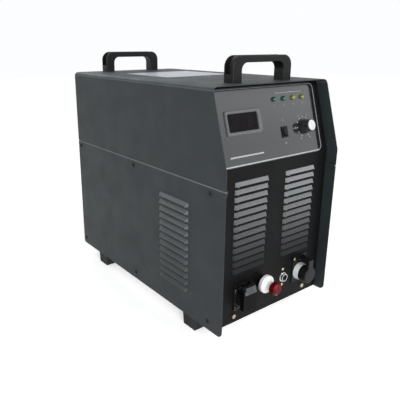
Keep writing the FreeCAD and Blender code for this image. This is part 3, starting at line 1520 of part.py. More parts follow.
def fan():
    """Frame, rotor and wire guard of the cooling fan behind the rear panel."""
    half = "fan_side/2"
    back = "-gauge-fan_depth"
    square = rear_block(
        "fan_square", ("-" + half, half), ("fan_up-" + half, "fan_up+" + half), (back, "-gauge")
    )
    tunnel = rear_rod("fan_tunnel", "fan_bore", "0", "fan_up", (back + "-1", "0"))
    holes = [rear_rod("fan_frame_hole", "m4_hole", x, up, ("-gauge-12", "0")) for x, up in FAN_CORNERS]
    ring = cut("fan_ring", square, tunnel, *holes)
    struts = [
        rear_block(
            "fan_strut_level",
            ("-fan_bore-1", "fan_bore+1"),
            ("fan_up-strut_width/2", "fan_up+strut_width/2"),
            (back, back + "+strut_gauge"),
        ),
        rear_block(
            "fan_strut_upright",
            ("-strut_width/2", "strut_width/2"),
            ("fan_up-fan_bore-1", "fan_up+fan_bore+1"),
            (back, back + "+strut_gauge"),
        ),
    ]
    plate = rear_rod("motor_plate", "motor_radius", "0", "fan_up", (back, back + "+motor_gauge"))
    axle = rear_rod("fan_axle", "axle_radius", "0", "fan_up", (back, back + "+motor_gauge+hub_length-4"))
    node(fuse("fan_whole", ring, *struts, plate, axle), "fan_frame")
    hub_start = back + "+motor_gauge+1"
    hub_end = hub_start + "+hub_length"
    hub = rear_rod("fan_hub", "hub_radius", "0", "fan_up", (hub_start, hub_end))
    blades = []
    for number in range(size["blade_count"]):
        angle = 360.0 * number / size["blade_count"]
        blade = doc.addObject("Part::Box", "fan_blade")
        bind(blade, "Length", "blade_tip-hub_radius+3")
        bind(blade, "Width", "blade_gauge")
        bind(blade, "Height", "blade_chord")
        pitch = FreeCAD.Rotation(AXIS_X, 90 - size["blade_pitch"])
        around = FreeCAD.Rotation(AXIS_Y, angle)
        blade.Placement.Rotation = around.multiply(pitch)
        radial = around.multVec(AXIS_X)
        chord = around.multiply(pitch).multVec(AXIS_Z)
        middle = "(%s+hub_length/2)" % hub_start
        bind(blade, "Placement.Base.x", "(hub_radius-3)*(%.9f)-blade_chord/2*(%.9f)" % (radial.x, chord.x))
        bind(blade, "Placement.Base.y", "%s+%s-blade_chord/2*(%.9f)" % (REAR_FACE, middle, chord.y))
        z = "%s+fan_up+(hub_radius-3)*(%.9f)-blade_chord/2*(%.9f)" % (BOTTOM, radial.z, chord.z)
        bind(blade, "Placement.Base.z", z)
        blades.append(blade)
    envelope = rear_rod("fan_envelope", "blade_tip", "0", "fan_up", (hub_start, hub_end))
    swept = doc.addObject("Part::Common", "fan_swept")
    swept.Base = fuse("fan_solid", hub, *blades)
    swept.Tool = envelope
    bore_out = (hub_start + "-1", hub_end + "-3")
    bore = rear_rod("hub_bore", "axle_radius+axle_play", "0", "fan_up", bore_out)
    node(cut("rotor", swept, bore), "fan_rotor")
    rings = []
    ring_out = "eye_gauge/2+2*guard_wire-guard_lap"
    for number in range(size["guard_rings"]):
        ring = doc.addObject("Part::Torus", "guard_ring")
        step = "(guard_outer-guard_inner)/(guard_rings-1)"
        bind(ring, "Radius1", "guard_inner+%d*%s" % (number, step))
        bind(ring, "Radius2", "guard_wire")
        ring.Placement.Rotation = HEADINGS["y"]
        place(ring, "0", "%s+%s" % (REAR_FACE, ring_out), BOTTOM + "+fan_up")
        rings.append(ring)
    bars = []
    for sx in (-1, 1):
        bar = doc.addObject("Part::Cylinder", "guard_bar")
        bind(bar, "Radius", "guard_wire")
        bind(bar, "Height", "2*fan_corner*1.41422")
        bar.Placement.Rotation = FreeCAD.Rotation(AXIS_Y, 45 * sx)
        place(bar, "%d*fan_corner" % -sx, REAR_FACE + "+eye_gauge/2", BOTTOM + "+fan_up-fan_corner")
        bars.append(bar)
    eyes = [rear_rod("guard_eye", "eye_radius", x, up, ("0", "eye_gauge")) for x, up in FAN_CORNERS]
    eye_holes = [rear_rod("guard_hole", "m4_hole", x, up, ("-1", "eye_gauge+1")) for x, up in FAN_CORNERS]
    return node(cut("guard", fuse("guard_wires", *rings, *bars, *eyes), *eye_holes), "fan_guard")


def breaker():
    """The mains circuit breaker: its body, and the lever that stands out of the rear panel."""
    half = "breaker_width/2"
    body = rear_block(
        "breaker_case",
        ("breaker_x-" + half, "breaker_x+" + half),
        ("breaker_up-breaker_height/2", "breaker_up+breaker_height/2"),
        ("-gauge-breaker_depth", "-gauge"),
    )
    nose = rear_block(
        "breaker_nose",
        ("breaker_x-" + half, "breaker_x+" + half),
        ("breaker_up-nose_height/2", "breaker_up+nose_height/2"),
        ("-gauge-1", "nose_stand"),
    )
    length = "lever_width+2*lever_play"
    slot = breaker_rod("breaker_slot", "lever_radius+lever_play", length)
    mouth = rear_block(
        "breaker_mouth",
        ("breaker_x-(%s)/2" % length, "breaker_x+(%s)/2" % length),
        ("breaker_up-lever_radius-lever_play", "breaker_up+lever_radius+lever_play"),
        ("nose_stand-lever_radius", "nose_stand+1"),
    )
    hole = breaker_rod("breaker_pin_hole", "lid_pin+pin_play", "lever_width+2*pin_reach")
    node(cut("breaker", fuse("breaker_solid", body, nose), slot, mouth, hole), "breaker_body")
    drum = breaker_rod("lever_drum", "lever_radius", "lever_width")
    axle = breaker_rod("lever_axle", "lid_pin", "lever_width+2*(pin_reach-pin_slack)")
    grip = rear_block(
        "lever_grip",
        ("breaker_x-lever_width/2", "breaker_x+lever_width/2"),
        ("breaker_up-lever_radius", "breaker_up-lever_radius+lever_grip"),
        ("nose_stand-lever_radius", "nose_stand+lever_reach"),
    )
    node(fuse("lever", drum, axle, grip), "breaker_lever")


def breaker_rod(name, radius, length):
    """A rod on the lever's axis, centred on the breaker."""
    start = "breaker_x-(%s)/2" % length
    y = REAR_FACE + "+nose_stand-lever_radius"
    return rod(name, radius, length, start, y, BOTTOM + "+breaker_up", "x")


def cable_gland():
    """The mains cable's gland with its lock nut, empty."""
    y = REAR_FACE
    z = BOTTOM + "+gland_up"
    flat = hexagon("gland_flats", "gland_hex", "gland_hex_height", "gland_x", y, z, "y")
    dome = cone(
        "gland_cap",
        "gland_dome",
        "gland_dome-4",
        "gland_dome_height",
        "gland_x",
        y + "+gland_hex_height",
        z,
        "y",
    )
    thread = rear_rod("gland_screw", "gland_thread", "gland_x", "gland_up", ("-gland_back", "1"))
    nut_y = "%s-gland_nut_height" % REAR_INSIDE
    nut = hexagon("gland_nut", "gland_hex", "gland_nut_height", "gland_x", nut_y, z, "y")
    reach = "gland_hex_height+gland_dome_height+1"
    bore = rear_rod("gland_bore", "gland_bore", "gland_x", "gland_up", ("-gland_back-1", reach))
    return cut("gland", fuse("gland_solid", flat, dome, thread, nut), bore)


def air_inlet():
    """The brass hose tail for compressed air, with a hexagon against the rear panel."""
    z = BOTTOM + "+inlet_up"
    flat = hexagon("inlet_flats", "inlet_hex", "7", "inlet_x", REAR_FACE, z, "y")
    tail = rear_rod("inlet_tail", "inlet_barb", "inlet_x", "inlet_up", ("0", "inlet_reach"))
    barbs = []
    for number in range(3):
        y = "%s+9+%d*4" % (REAR_FACE, number)
        wide, narrow = "inlet_barb+0.8", "inlet_barb-0.2"
        barbs.append(cone("inlet_barb_ring", wide, narrow, "3.5", "inlet_x", y, z, "y"))
    stem = rear_rod("inlet_stem", "inlet_barb+1.5", "inlet_x", "inlet_up", ("-inlet_back", "1"))
    nut = hexagon("inlet_nut", "inlet_hex", "5", "inlet_x", REAR_INSIDE + "-5", z, "y")
    bore = rear_rod("inlet_bore", "inlet_bore", "inlet_x", "inlet_up", ("-inlet_back-1", "inlet_reach+1"))
    return cut("inlet", fuse("inlet_solid", flat, tail, stem, nut, *barbs), bore)


def earth_stud():
    """The protective earth bolt with its nut."""
    z = BOTTOM + "+earth_up"
    stud = rear_rod("earth_rod", "earth_radius", "earth_x", "earth_up", ("-gauge-4", "earth_reach"))
    nut = hexagon("earth_nut", "earth_nut", "earth_nut_height", "earth_x", REAR_FACE + "+1.6", z, "y")
    washer = rear_rod("earth_washer", "earth_nut+1", "earth_x", "earth_up", ("0", "1.6"))
    head = hexagon("earth_head", "earth_nut", "4", "earth_x", REAR_INSIDE + "-4", z, "y")
    return fuse("earth", stud, nut, washer, head)


VALVE_REAR = "(%s-inlet_back)" % REAR_FACE
VALVE_Z = "(%s+inlet_up)" % BOTTOM


def air_valve():
    """The solenoid valve on the air inlet's stem."""
    y = (VALVE_REAR + "-valve_length", VALVE_REAR)
    z = (VALVE_Z + "-valve_height/2", VALVE_Z + "+valve_height/2")
    body = block("valve_block", ("inlet_x-valve_width/2", "inlet_x+valve_width/2"), y, z)
    coil_y = "%s-valve_length/2" % VALVE_REAR
    under = VALVE_Z + "-valve_height/2"
    coil = rod("valve_coil", "coil_radius", "coil_height", "inlet_x", coil_y, under, "-z")
    return fuse("valve", body, coil)


def air_hose():
    """The hose from the valve forward along the right side and down to the torch connector.

    Straight runs joined by tangent arcs.
    """
    rear = size["case_depth"] / 2 - size["rear_recess"] - size["inlet_back"] - size["valve_length"]
    face = -size["case_depth"] / 2 + size["front_recess"]
    nipple = face + size["right_depth"] + size["nipple_reach"]
    high = size["floor_gap"] + size["inlet_up"]
    low = size["floor_gap"] + size["right_up"]
    inlet_x = size["case_width"] / 2 - size["inlet_inset"]
    lane = size["case_width"] / 2 - size["hose_inset"]
    right_x = size["right_x"]
    bend = size["hose_bend"]
    points = [
        FreeCAD.Vector(inlet_x, rear, high),
        FreeCAD.Vector(inlet_x, rear - bend, high),
        FreeCAD.Vector(lane - 4, rear - 3 * bend, high - bend),
        FreeCAD.Vector(lane, nipple + 3.4 * bend, low + bend),
        FreeCAD.Vector(right_x, nipple + bend, low),
        FreeCAD.Vector(right_x, nipple, low),
    ]
    edges = []
    start = points[0]
    for before, corner, after in zip(points, points[1:], points[2:]):
        into = (corner - before).normalize()
        away = (after - corner).normalize()
        turn = into.getAngle(away)
        reach = 0.45 * min((corner - before).Length, (after - corner).Length)
        reach = min(reach, bend * math.tan(turn / 2) * 2)
        first = corner - into * reach
        last = corner + away * reach
        bisector = (away - into).normalize()
        radius = reach / math.tan(turn / 2)
        middle = corner + bisector * (radius / math.cos(turn / 2) - radius)
        edges.append(Part.LineSegment(start, first).toShape())
        edges.append(Part.Arc(first, middle, last).toShape())
        start = last
    edges.append(Part.LineSegment(start, points[-1]).toShape())
    path = Part.Wire(edges)
    circle = Part.Circle(points[0], points[1] - points[0], size["hose_radius"]).toShape()
    hose = doc.addObject("Part::Feature", "hose")
    hose.Shape = path.makePipeShell([Part.Wire([circle])], True, False)
    return hose


def heatsinks():
    """Two finned heatsinks, side by side in front of the fan, fins down on the pan."""
    pieces = []
    for side in (-1, 1):
        x = sorted_pair(side, "sink_gap/2", "(sink_gap/2+sink_width)")
        y = (SINK_FRONT, SINK_REAR)
        solids = [block("sink_plate", x, y, (SINK_TOP + "-sink_base", SINK_TOP))]
        for number in range(size["fin_count"]):
            step = "(sink_width-fin_gauge)/(fin_count-1)"
            low = "%s+%d*%s" % (x[0], number, step)
            fin_z = (PAN_TOP, SINK_TOP + "-sink_base/2")
            solids.append(block("sink_fin", (low, low + "+fin_gauge"), y, fin_z))
        pieces.append(fuse("sink", *solids))
    return group("heatsinks", *pieces)


def power_modules():
    """Four potted switching and rectifier modules on the heatsinks."""
    modules = []
    for side in (-1, 1):
        for near in (0, 1):
            x = "%d*(sink_gap/2+12+%d*(module_width+14))" % (side, near)
            pair = (x, x + "+module_width") if side > 0 else (x + "-module_width", x)
            y = ("(sink_rear-sink_front)/2-module_length/2", "(sink_rear-sink_front)/2+module_length/2")
            modules.append(block("module", pair, y, (SINK_TOP, SINK_TOP + "+module_height")))
    return group("modules", *modules)


BOARD_UNDER = "(%s+power_spacer)" % SINK_TOP


def power_board():
    """The main board over the modules, on four spacers."""
    x = "(sink_gap/2+sink_width)"
    z = (BOARD_UNDER, BOARD_UNDER + "+power_board_gauge")
    plate = block("main_board", ("-" + x, x), (SINK_FRONT, SINK_REAR), z)
    posts = []
    for x in ("-(%s)" % POWER_SPACER_X, POWER_SPACER_X):
        for y in (SINK_FRONT + "+power_spacer_inset", SINK_REAR + "-power_spacer_inset"):
            posts.append(rod("power_spacer", "spacer_radius", "power_spacer+1", x, y, SINK_TOP, "z"))
    return fuse("board_and_spacers", plate, *posts)


def capacitors():
    """Three screw terminal capacitors standing on the power board."""
    cans = []
    for number in (-1, 0, 1):
        y = "(sink_rear-sink_front)/2"
        z = BOARD_UNDER + "+power_board_gauge"
        cans.append(rod("can", "can_radius", "can_height", "%d*can_pitch" % number, y, z, "z"))
    return group("cans", *cans)


CORE_FRONT = "(%s+core_front)" % FACE


def transformer():
    """The main transformer: a ferrite frame and the winding on its middle limb."""
    x = ("core_x-core_width/2", "core_x+core_width/2")
    y = (CORE_FRONT, CORE_FRONT + "+core_depth")
    z = (PAN_TOP, PAN_TOP + "+core_height")
    frame = block("core_frame", x, y, z)
    middle = "core_limb/2"
    windows = []
    for side in (-1, 1):
        low, high = sorted_pair(side, middle, "(core_width/2-core_limb/2)")
        pair = ("core_x+" + low, "core_x+" + high) if side > 0 else ("core_x" + low, "core_x" + high)
        limb_z = (PAN_TOP + "+core_limb/2", PAN_TOP + "+core_height-core_limb/2")
        windows.append(block("core_window", pair, (y[0] + "-1", y[1] + "+1"), limb_z))
    node(cut("core", frame, *windows), "transformer_core")
    gap = "fit_gap"
    outer = block(
        "winding_outer",
        ("core_x-%s-winding_thick" % middle, "core_x+%s+winding_thick" % middle),
        (CORE_FRONT + "-winding_thick", CORE_FRONT + "+core_depth+winding_thick"),
        (PAN_TOP + "+core_limb/2", PAN_TOP + "+core_height-core_limb/2-" + gap),
    )
    corners = (AXIS_Z, lambda p, b: True)
    outer = soften("winding_round", outer, "label_corner", corners)
    inner = block(
        "winding_inner",
        ("core_x-%s-%s" % (middle, gap), "core_x+%s+%s" % (middle, gap)),
        (CORE_FRONT + "-" + gap, CORE_FRONT + "+core_depth+" + gap),
        (PAN_TOP, PAN_TOP + "+core_height"),
    )
    node(cut("winding", outer, inner), "transformer_winding")


def output_choke():
    """The ring shaped output choke, flat on the pan."""
    y = CORE_FRONT + "+choke_radius-8"
    ring = rod("choke_ring", "choke_radius", "choke_height", "choke_x", y, PAN_TOP, "z")
    bore = rod("choke_hole", "choke_bore", "choke_height+2", "choke_x", y, PAN_TOP + "-1", "z")
    return cut("choke", ring, bore)


def arc_starter():
    """The boxed high frequency arc starter on the deck."""
    half = "starter_width/2"
    return block(
        "starter_box",
        ("starter_x-" + half, "starter_x+" + half),
        (FRONT + "+starter_front", FRONT + "+starter_front+starter_depth"),
        (DECK_TOP, DECK_TOP + "+starter_height"),
    )


node(base_pan(), "base_pan")
node(foot("fore_foot", FOOT_PLACES[0]), "front_foot")
node(foot("aft_foot", FOOT_PLACES[1]), "rear_foot")
node(m5_screws(), "handle_and_foot_screws")
left_panel = node(side_panel(), "left_side_panel")
node(mirrored("right_side", left_panel), "right_side_panel")
node(black_screws(), "black_pan_screws")
node(top_cover(), "top_cover")
left_rail = rail()
node(group("rails", left_rail, mirrored("right_rail", left_rail)), "side_rails")
node(deck(), "inner_deck")
node(front_panel(), "front_panel")
node(control_label(), "control_label")
node(corner_screws(), "panel_corner_screws")
node(bright_screws(), "bright_small_screws")
node(handle("fore_handle", HANDLE_PLACES[0]), "front_handle")
node(handle("aft_handle", HANDLE_PLACES[1]), "rear_handle")
node(top_plate(), "top_plate")
meter_pieces()
node(lamps("green", 0), "green_lamps")
node(lamps("amber", 2), "amber_lamps")
node(control_board(), "control_board")
rocker()
knob()
left_socket()
right_socket()
node(lid_pins(), "lid_hinge_pins")
terminal()
signal_socket()
node(rear_panel(), "rear_panel")
fan()
breaker()
node(cable_gland(), "cable_gland")
node(air_inlet(), "air_inlet")
node(earth_stud(), "earth_bolt")
node(air_valve(), "solenoid_valve")
node(air_hose(), "air_hose")
node(heatsinks(), "heatsink_pair")
node(power_modules(), "power_modules")
node(power_board(), "power_board")
node(capacitors(), "dc_capacitors")
transformer()
node(output_choke(), "output_ring_choke")
node(arc_starter(), "arc_starter_unit")

doc.recompute()
for item in doc.Objects:
    if "Invalid" in item.State or "Error" in item.State:
        raise RuntimeError("%s did not compute: %s" % (item.Label, item.State))
for item in nodes:
    if item.Shape.isNull() or not item.Shape.isValid() or not item.Shape.Solids:
        raise RuntimeError(item.Label + " has no valid solid")
for item in nodes:
    item.Shape.exportStep("parts/%s.step" % item.Label)
print(len(nodes), "pieces written")
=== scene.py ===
# %% [markdown]
# # An air plasma cutter, dressed for a photograph
#
# The frame holds every solid of the machine at its real size, in metres, with the
# front facing -Y and the floor at z = 0. This lesson gives those solids the finishes
# that the real ones have, adds the thin things that a solid model leaves out, such as
# the print on the control label, and sets up a studio with a pale floor.

# %% Load the frame
import math
import bmesh
import bpy
import numpy as np
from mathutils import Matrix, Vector


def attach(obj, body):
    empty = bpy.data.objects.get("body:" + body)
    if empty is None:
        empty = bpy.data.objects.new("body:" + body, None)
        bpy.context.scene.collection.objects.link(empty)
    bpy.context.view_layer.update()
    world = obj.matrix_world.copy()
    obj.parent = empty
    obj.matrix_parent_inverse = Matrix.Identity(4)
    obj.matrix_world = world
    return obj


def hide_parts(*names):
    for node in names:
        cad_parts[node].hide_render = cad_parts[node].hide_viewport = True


MM = 0.001

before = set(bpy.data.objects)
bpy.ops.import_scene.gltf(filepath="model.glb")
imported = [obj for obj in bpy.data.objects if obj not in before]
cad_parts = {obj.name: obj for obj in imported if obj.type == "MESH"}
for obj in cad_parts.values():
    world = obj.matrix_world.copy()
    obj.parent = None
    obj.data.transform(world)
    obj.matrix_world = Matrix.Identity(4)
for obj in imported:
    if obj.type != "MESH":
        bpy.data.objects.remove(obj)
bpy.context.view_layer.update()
scene = bpy.context.scene
scene.view_settings.view_transform = "Standard"

# %% [markdown]
# ## The camera
#
# A product photograph is easiest to match when the camera comes first, because the
# size of every highlight depends on it. The camera stands to the left of the front,
# a little above, and looks down by 17 degrees. The picture is a cut from a larger
# one, so the lens is shifted a little. A camera and a lamp both look along their own
# -Z, so one helper turns either of them.

# %% Camera
CAMERA_AZIMUTH = math.radians(-36.82)
CAMERA_ELEVATION = math.radians(16.87)
CAMERA_PLACE = (-0.6538, -0.8098, 0.541)
SENSOR_MM, LENS_MM = 36, 41.95
SHIFT_X, SHIFT_Y = 0.061, -0.037
NEAREST_SEEN = 0.05


def look(item, way):
    """Turn a camera or a lamp so that it looks along a way, with its top up."""
    item.rotation_mode = "QUATERNION"
    item.rotation_quaternion = way.to_track_quat("-Z", "Y")


back = Vector((
    math.sin(CAMERA_AZIMUTH) * math.cos(CAMERA_ELEVATION),
    -math.cos(CAMERA_AZIMUTH) * math.cos(CAMERA_ELEVATION),
    math.sin(CAMERA_ELEVATION),
))
camera = bpy.data.objects.new("Camera", bpy.data.cameras.new("Camera"))
scene.collection.objects.link(camera)
camera.location = CAMERA_PLACE
look(camera, -back)
camera.data.sensor_width = SENSOR_MM
camera.data.lens = LENS_MM
camera.data.shift_x, camera.data.shift_y = SHIFT_X, SHIFT_Y
camera.data.clip_start = NEAREST_SEEN
scene.camera = camera
print("camera back vector", [round(v, 3) for v in back])

# %% [markdown]
# ## The studio
#
# The floor and the backdrop are white. The white is in what the camera and the
# reflections see of them, through the Light Path node, so the lamps stay at a plain
# level and dark paint stays dark. Near the machine the floor is a matt white surface
# with some glow of its own, so only a soft shadow stays on it; further out it turns
# into the backdrop's white.


# %% Node helper
class Tree:
    """Short names for building a node tree: add a node, wire it, and get its output."""

    OBJECT_OUTPUT = 3  # the Object output of a Texture Coordinate node
    LENGTH_OUTPUT = 1  # the number that a Vector Math node gives

    def __init__(self, owner):
        owner.use_nodes = True
        self.tree = owner.node_tree

    def add(self, kind, *inputs, out=0, **settings):
        """A node whose inputs, in order, are wired from sockets or set to numbers."""
        node = self.tree.nodes.new("ShaderNode" + kind)
        for key, value in settings.items():
            setattr(node, key, value)
        for socket, value in zip(node.inputs, inputs):
            self.put(socket, value)
        return node.outputs[out]

    def put(self, socket, value):
        """Wire a socket to another one, or set it to a plain value."""
        if isinstance(value, bpy.types.NodeSocket):
            self.tree.links.new(value, socket)
        elif value is not None:
            socket.default_value = value

    def math(self, operation, *values):
        """A sum on numbers."""
        return self.add("Math", *values, operation=operation)

    def vector(self, operation, *values, out=0):
        """A sum on vectors."""
        return self.add("VectorMath", *values, operation=operation, out=out)

    def both(self, first, second):
        """The product of two masks, which is 1 where both are."""
        return self.math("MULTIPLY", first, second)

    def axes(self, place):
        """The x, y and z of a point, as three outputs."""
        node = self.tree.nodes.new("ShaderNodeSeparateXYZ")
        self.put(node.inputs[0], place)
        return node.outputs

    def seen(self):
        """1 for rays from the camera, in reflections and through glass, 0 for light."""
        ray = self.tree.nodes.new("ShaderNodeLightPath").outputs
        some = self.math("MAXIMUM", ray["Is Camera Ray"], ray["Is Glossy Ray"])
        return self.math("MAXIMUM", some, ray["Is Transmission Ray"])


# %% World
WORLD_LIGHT = 0.42
world = bpy.data.worlds.new("Studio")
scene.world = world
sky = Tree(world)
background = sky.tree.nodes["Background"]
sky.put(background.inputs["Color"], (0.97, 0.985, 1.0, 1))
lift = sky.math("MULTIPLY_ADD", sky.seen(), 1 - WORLD_LIGHT, WORLD_LIGHT)
sky.put(background.inputs["Strength"], lift)
print("world light on the object:", WORLD_LIGHT)

# %% Floor
FLOOR_HALF = 7
FLOOR_NEAR, FLOOR_FAR = 0.9, 2.4
FLOOR_GLOW = 0.45
floor_mesh = bpy.data.meshes.new("Floor")
outline = [(x * FLOOR_HALF, y * FLOOR_HALF, 0) for x, y in ((-1, -1), (1, -1), (1, 1), (-1, 1))]
floor_mesh.from_pydata(outline, [], [(0, 1, 2, 3)])
floor = bpy.data.objects.new("Floor", floor_mesh)
scene.collection.objects.link(floor)

floor_material = bpy.data.materials.new("floor_white")
t = Tree(floor_material)
place = t.add("TexCoord", out=Tree.OBJECT_OUTPUT)
distance = t.vector("LENGTH", place, out=Tree.LENGTH_OUTPUT)
far = t.add("MapRange", distance, FLOOR_NEAR, FLOOR_FAR, 0.0, 1.0)
matt = t.add("BsdfDiffuse", (0.90, 0.905, 0.91, 1))
bright = t.add("BsdfDiffuse", (1, 1, 1, 1))
glow = t.add("Emission", (1, 1, 1, 1), 1.0)
haze = t.add("Emission", (1, 1, 1, 1), FLOOR_GLOW)
near = t.add("AddShader", bright, haze)
shown = t.add("MixShader", far, near, glow)
surface = t.add("MixShader", t.seen(), matt, shown)
t.put(t.tree.nodes["Material Output"].inputs["Surface"], surface)
floor_mesh.materials.append(floor_material)
print("floor, m across:", 2 * FLOOR_HALF)

# %% [markdown]
# ### Softboxes
#
# Four wide area lights stand round the machine, as in a product studio. The low one
# in front is the brightest and shapes the front panel, and the others only lift the
# cover, the side and the rear.


# %% Lamps
def lamp(name, watts, width, height, position, target):
    """A softbox: a rectangular area light that looks at a target."""
    data = bpy.data.lights.new(name, "AREA")
    data.energy = watts
    data.shape = "RECTANGLE"
    data.size, data.size_y = width, height
    item = bpy.data.objects.new(name, data)
    scene.collection.objects.link(item)
    item.location = position
    look(item, Vector(target) - Vector(position))


lamp("Front softbox", 16, 1.4, 1.0, (0.9, -2.2, 2.2), (0, -0.25, 0.35))
lamp("Low softbox", 40, 1.2, 0.8, (-1.0, -2.45, 0.9), (0, -0.25, 0.25))
lamp("Left softbox", 4, 1.2, 1.0, (-2.3, 1.1, 1.0), (-0.15, 0.05, 0.3))
lamp("Rear softbox", 12, 1.2, 0.9, (-0.1, 2.2, 1.75), (0, 0, 0.4))

# %% [markdown]
# ## The leaning panel as a drawing board
#
# The controls sit on a panel that leans back. To draw on it, three directions are
# enough: ACROSS to the right, ALONG up the slope, and OUTWARD square to it. How far out
# the label's face lies is measured on the label itself. The panel leans back by 40 mm
# in 135 mm, from the knee where it meets the upright part.

# %% The panel's directions
LEAN = math.atan2(40, 135)
ACROSS = np.array([1.0, 0, 0])
ALONG = np.array([0, math.sin(LEAN), math.cos(LEAN)])
OUTWARD = np.array([0, -math.cos(LEAN), math.sin(LEAN)])
KNEE = np.array([0, -0.252, 0.336]) @ ALONG  # how far along the slope the knee lies


def spots_of(node):
    """The points of a CAD node, in metres, as an array of rows x, y, z."""
    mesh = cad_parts[node].data
    flat = np.empty(3 * len(mesh.vertices))
    mesh.vertices.foreach_get("co", flat)
    return flat.reshape(-1, 3)


def middle_of(node):
    """The middle of a CAD node's box, in metres."""
    spots = spots_of(node)
    return (spots.min(axis=0) + spots.max(axis=0)) / 2


LABEL_FACE = float((spots_of("control_label") @ OUTWARD).max())


def on_panel(x, up, out):
    """The place, in metres, of x mm across, up mm above the knee and out mm off the label."""
    x, up, out = (MM * side[..., None] for side in np.broadcast_arrays(x, up, out))
    return x * ACROSS + (KNEE + up) * ALONG + (LABEL_FACE + out) * OUTWARD


print("label face, mm along its normal:", round(LABEL_FACE / MM, 2))

# %% [markdown]
# ## Finishes
#
# Every finish is a Principled shader fed by noise on Object coordinates, so the grain
# is a real size on each piece, whatever its shape. A finish has three things: a colour
# that wanders a little, a roughness that wanders a little, and a fine relief.


# %% Finish helper
class Finish(Tree):
    """A material with one Principled shader; its plain values are set on the shader."""

    def __init__(self, name, colour, roughness, metallic=0.0, **values):
        self.material = bpy.data.materials.new(name)
        super().__init__(self.material)
        self.shader = self.tree.nodes["Principled BSDF"]
        self.colour = self.base = colour
        self.put(self.shader.inputs["Base Color"], (*colour, 1))
        self.put(self.shader.inputs["Roughness"], roughness)
        self.put(self.shader.inputs["Metallic"], metallic)
        for key, value in values.items():
            self.put(self.shader.inputs[key.replace("_", " ")], value)
        self.roughness = roughness
        self.place = self.add("TexCoord", out=self.OBJECT_OUTPUT)
        self.relief = None

    def noise(self, scale, detail, stretch=(1, 1, 1)):
        """Noise from 0 to 1 whose grains are about 1/scale metres, stretched by axis."""
        where = self.vector("MULTIPLY", self.place, stretch)
        node = self.tree.nodes.new("ShaderNodeTexNoise")
        self.put(node.inputs["Vector"], where)
        self.put(node.inputs["Scale"], scale)
        self.put(node.inputs["Detail"], detail)
        return node.outputs["Fac"]

    def between(self, value, low, high, start=0.0, end=1.0):
        """A value carried from low..high to start..end with soft ends."""
        node = self.tree.nodes.new("ShaderNodeMapRange")
        node.interpolation_type = "SMOOTHSTEP"
        keys = ("Value", "From Min", "From Max", "To Min", "To Max")
        for key, number in zip(keys, (value, low, high, start, end)):
            self.put(node.inputs[key], number)
        return node.outputs["Result"]

    def blend(self, amount, first, second):
        """A colour that goes from first to second as amount goes from 0 to 1."""
        node = self.tree.nodes.new("ShaderNodeMix")
        node.data_type = "RGBA"
        sockets = [s for s in node.inputs if s.type == "RGBA"]
        self.put(node.inputs[0], amount)
        for socket, value in zip(sockets, (first, second)):
            self.put(socket, (*value, 1) if isinstance(value, tuple) else value)
        return [s for s in node.outputs if s.type == "RGBA"][0]

    def band(self, value, low, high, soft):
        """1 where a value lies between low and high, with ends as wide as soft."""
        start = self.between(value, low - soft, low + soft)
        end = self.between(value, high - soft, high + soft, 1.0, 0.0)
        return self.both(start, end)

    def wander(self, scale, amount, stretch=(1, 1, 1)):
        """Let the base colour wander by a share of itself, over patches of 1/scale metres."""
        low = tuple(c * (1 - amount) for c in self.colour)
        high = tuple(min(1.0, c * (1 + amount)) for c in self.colour)
        patch = self.between(self.noise(scale, 3.0, stretch), 0.32, 0.68)
        self.base = self.blend(patch, low, high)
        self.put(self.shader.inputs["Base Color"], self.base)
        return self

    def over(self, mask, colour):
        """Lay another colour over the base where mask is 1."""
        self.base = self.blend(mask, self.base, colour)
        self.put(self.shader.inputs["Base Color"], self.base)
        return self

    def smear(self, scale, amount, stretch=(1, 1, 1)):
        """Let the roughness wander by an amount to each side."""
        value = self.noise(scale, 4.0, stretch)
        low, high = max(0.02, self.roughness - amount), self.roughness + amount
        self.put(self.shader.inputs["Roughness"], self.between(value, 0.3, 0.7, low, high))
        return self

    def grain(self, height, depth_mm):
        """Raise the surface by a height from 0 to 1, as deep as depth_mm."""
        node = self.tree.nodes.new("ShaderNodeBump")
        self.put(node.inputs["Distance"], depth_mm * MM)
        self.put(node.inputs["Height"], height)
        if self.relief is not None:
            self.put(node.inputs["Normal"], self.relief)
        self.relief = node.outputs["Normal"]
        self.put(self.shader.inputs["Normal"], self.relief)
        return self

    def tooth(self, scale, detail, depth_mm, stretch=(1, 1, 1)):
        """A grain made of noise."""
        return self.grain(self.noise(scale, detail, stretch), depth_mm)


def dress(finish, *nodes):
    """Put a finish into the material slots of CAD nodes."""
    for name in nodes:
        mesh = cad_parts[name].data
        mesh.materials.clear()
        mesh.materials.append(finish.material)


# %% [markdown]
# ### Powder coat
#
# The case is steel sheet under a charcoal powder coat. Baked powder flows into a fine
# orange peel about a millimetre across, with a sandy tooth on top. The upward faces of
# the louvres are painted paler, more so towards the top, as painted light for the light
# they catch, and the folded edges and the side panels' hem carry painted highlights.

# %% Where the paint changes, in metres
LIPS_BEFORE = -0.2523  # the lips of the front louvres lie in front of this
LIPS_BELOW = 0.3155
LIPS_HALF = 0.11
LIPS_OUTSIDE = 0.1503  # the lips of the side louvres lie further out than this
HEM, HEM_OUTSIDE = (0.3048, 0.3075), 0.1475
# painted highlight: the hem at the top of each side panel is painted pale grey for the bright
# line of light along it
HEM_HIGHLIGHT = (0.20, 0.205, 0.21)
# painted highlight: the folded top edges of the cover, at these heights, are painted lighter
BENDS, BENDS_OUTSIDE = ((0.4728, 0.4746), (0.4672, 0.4700)), 0.1415
HEM_SOFT, BEND_SOFT = 0.0003, 0.0004
print("hem at", HEM, "bends at", BENDS)


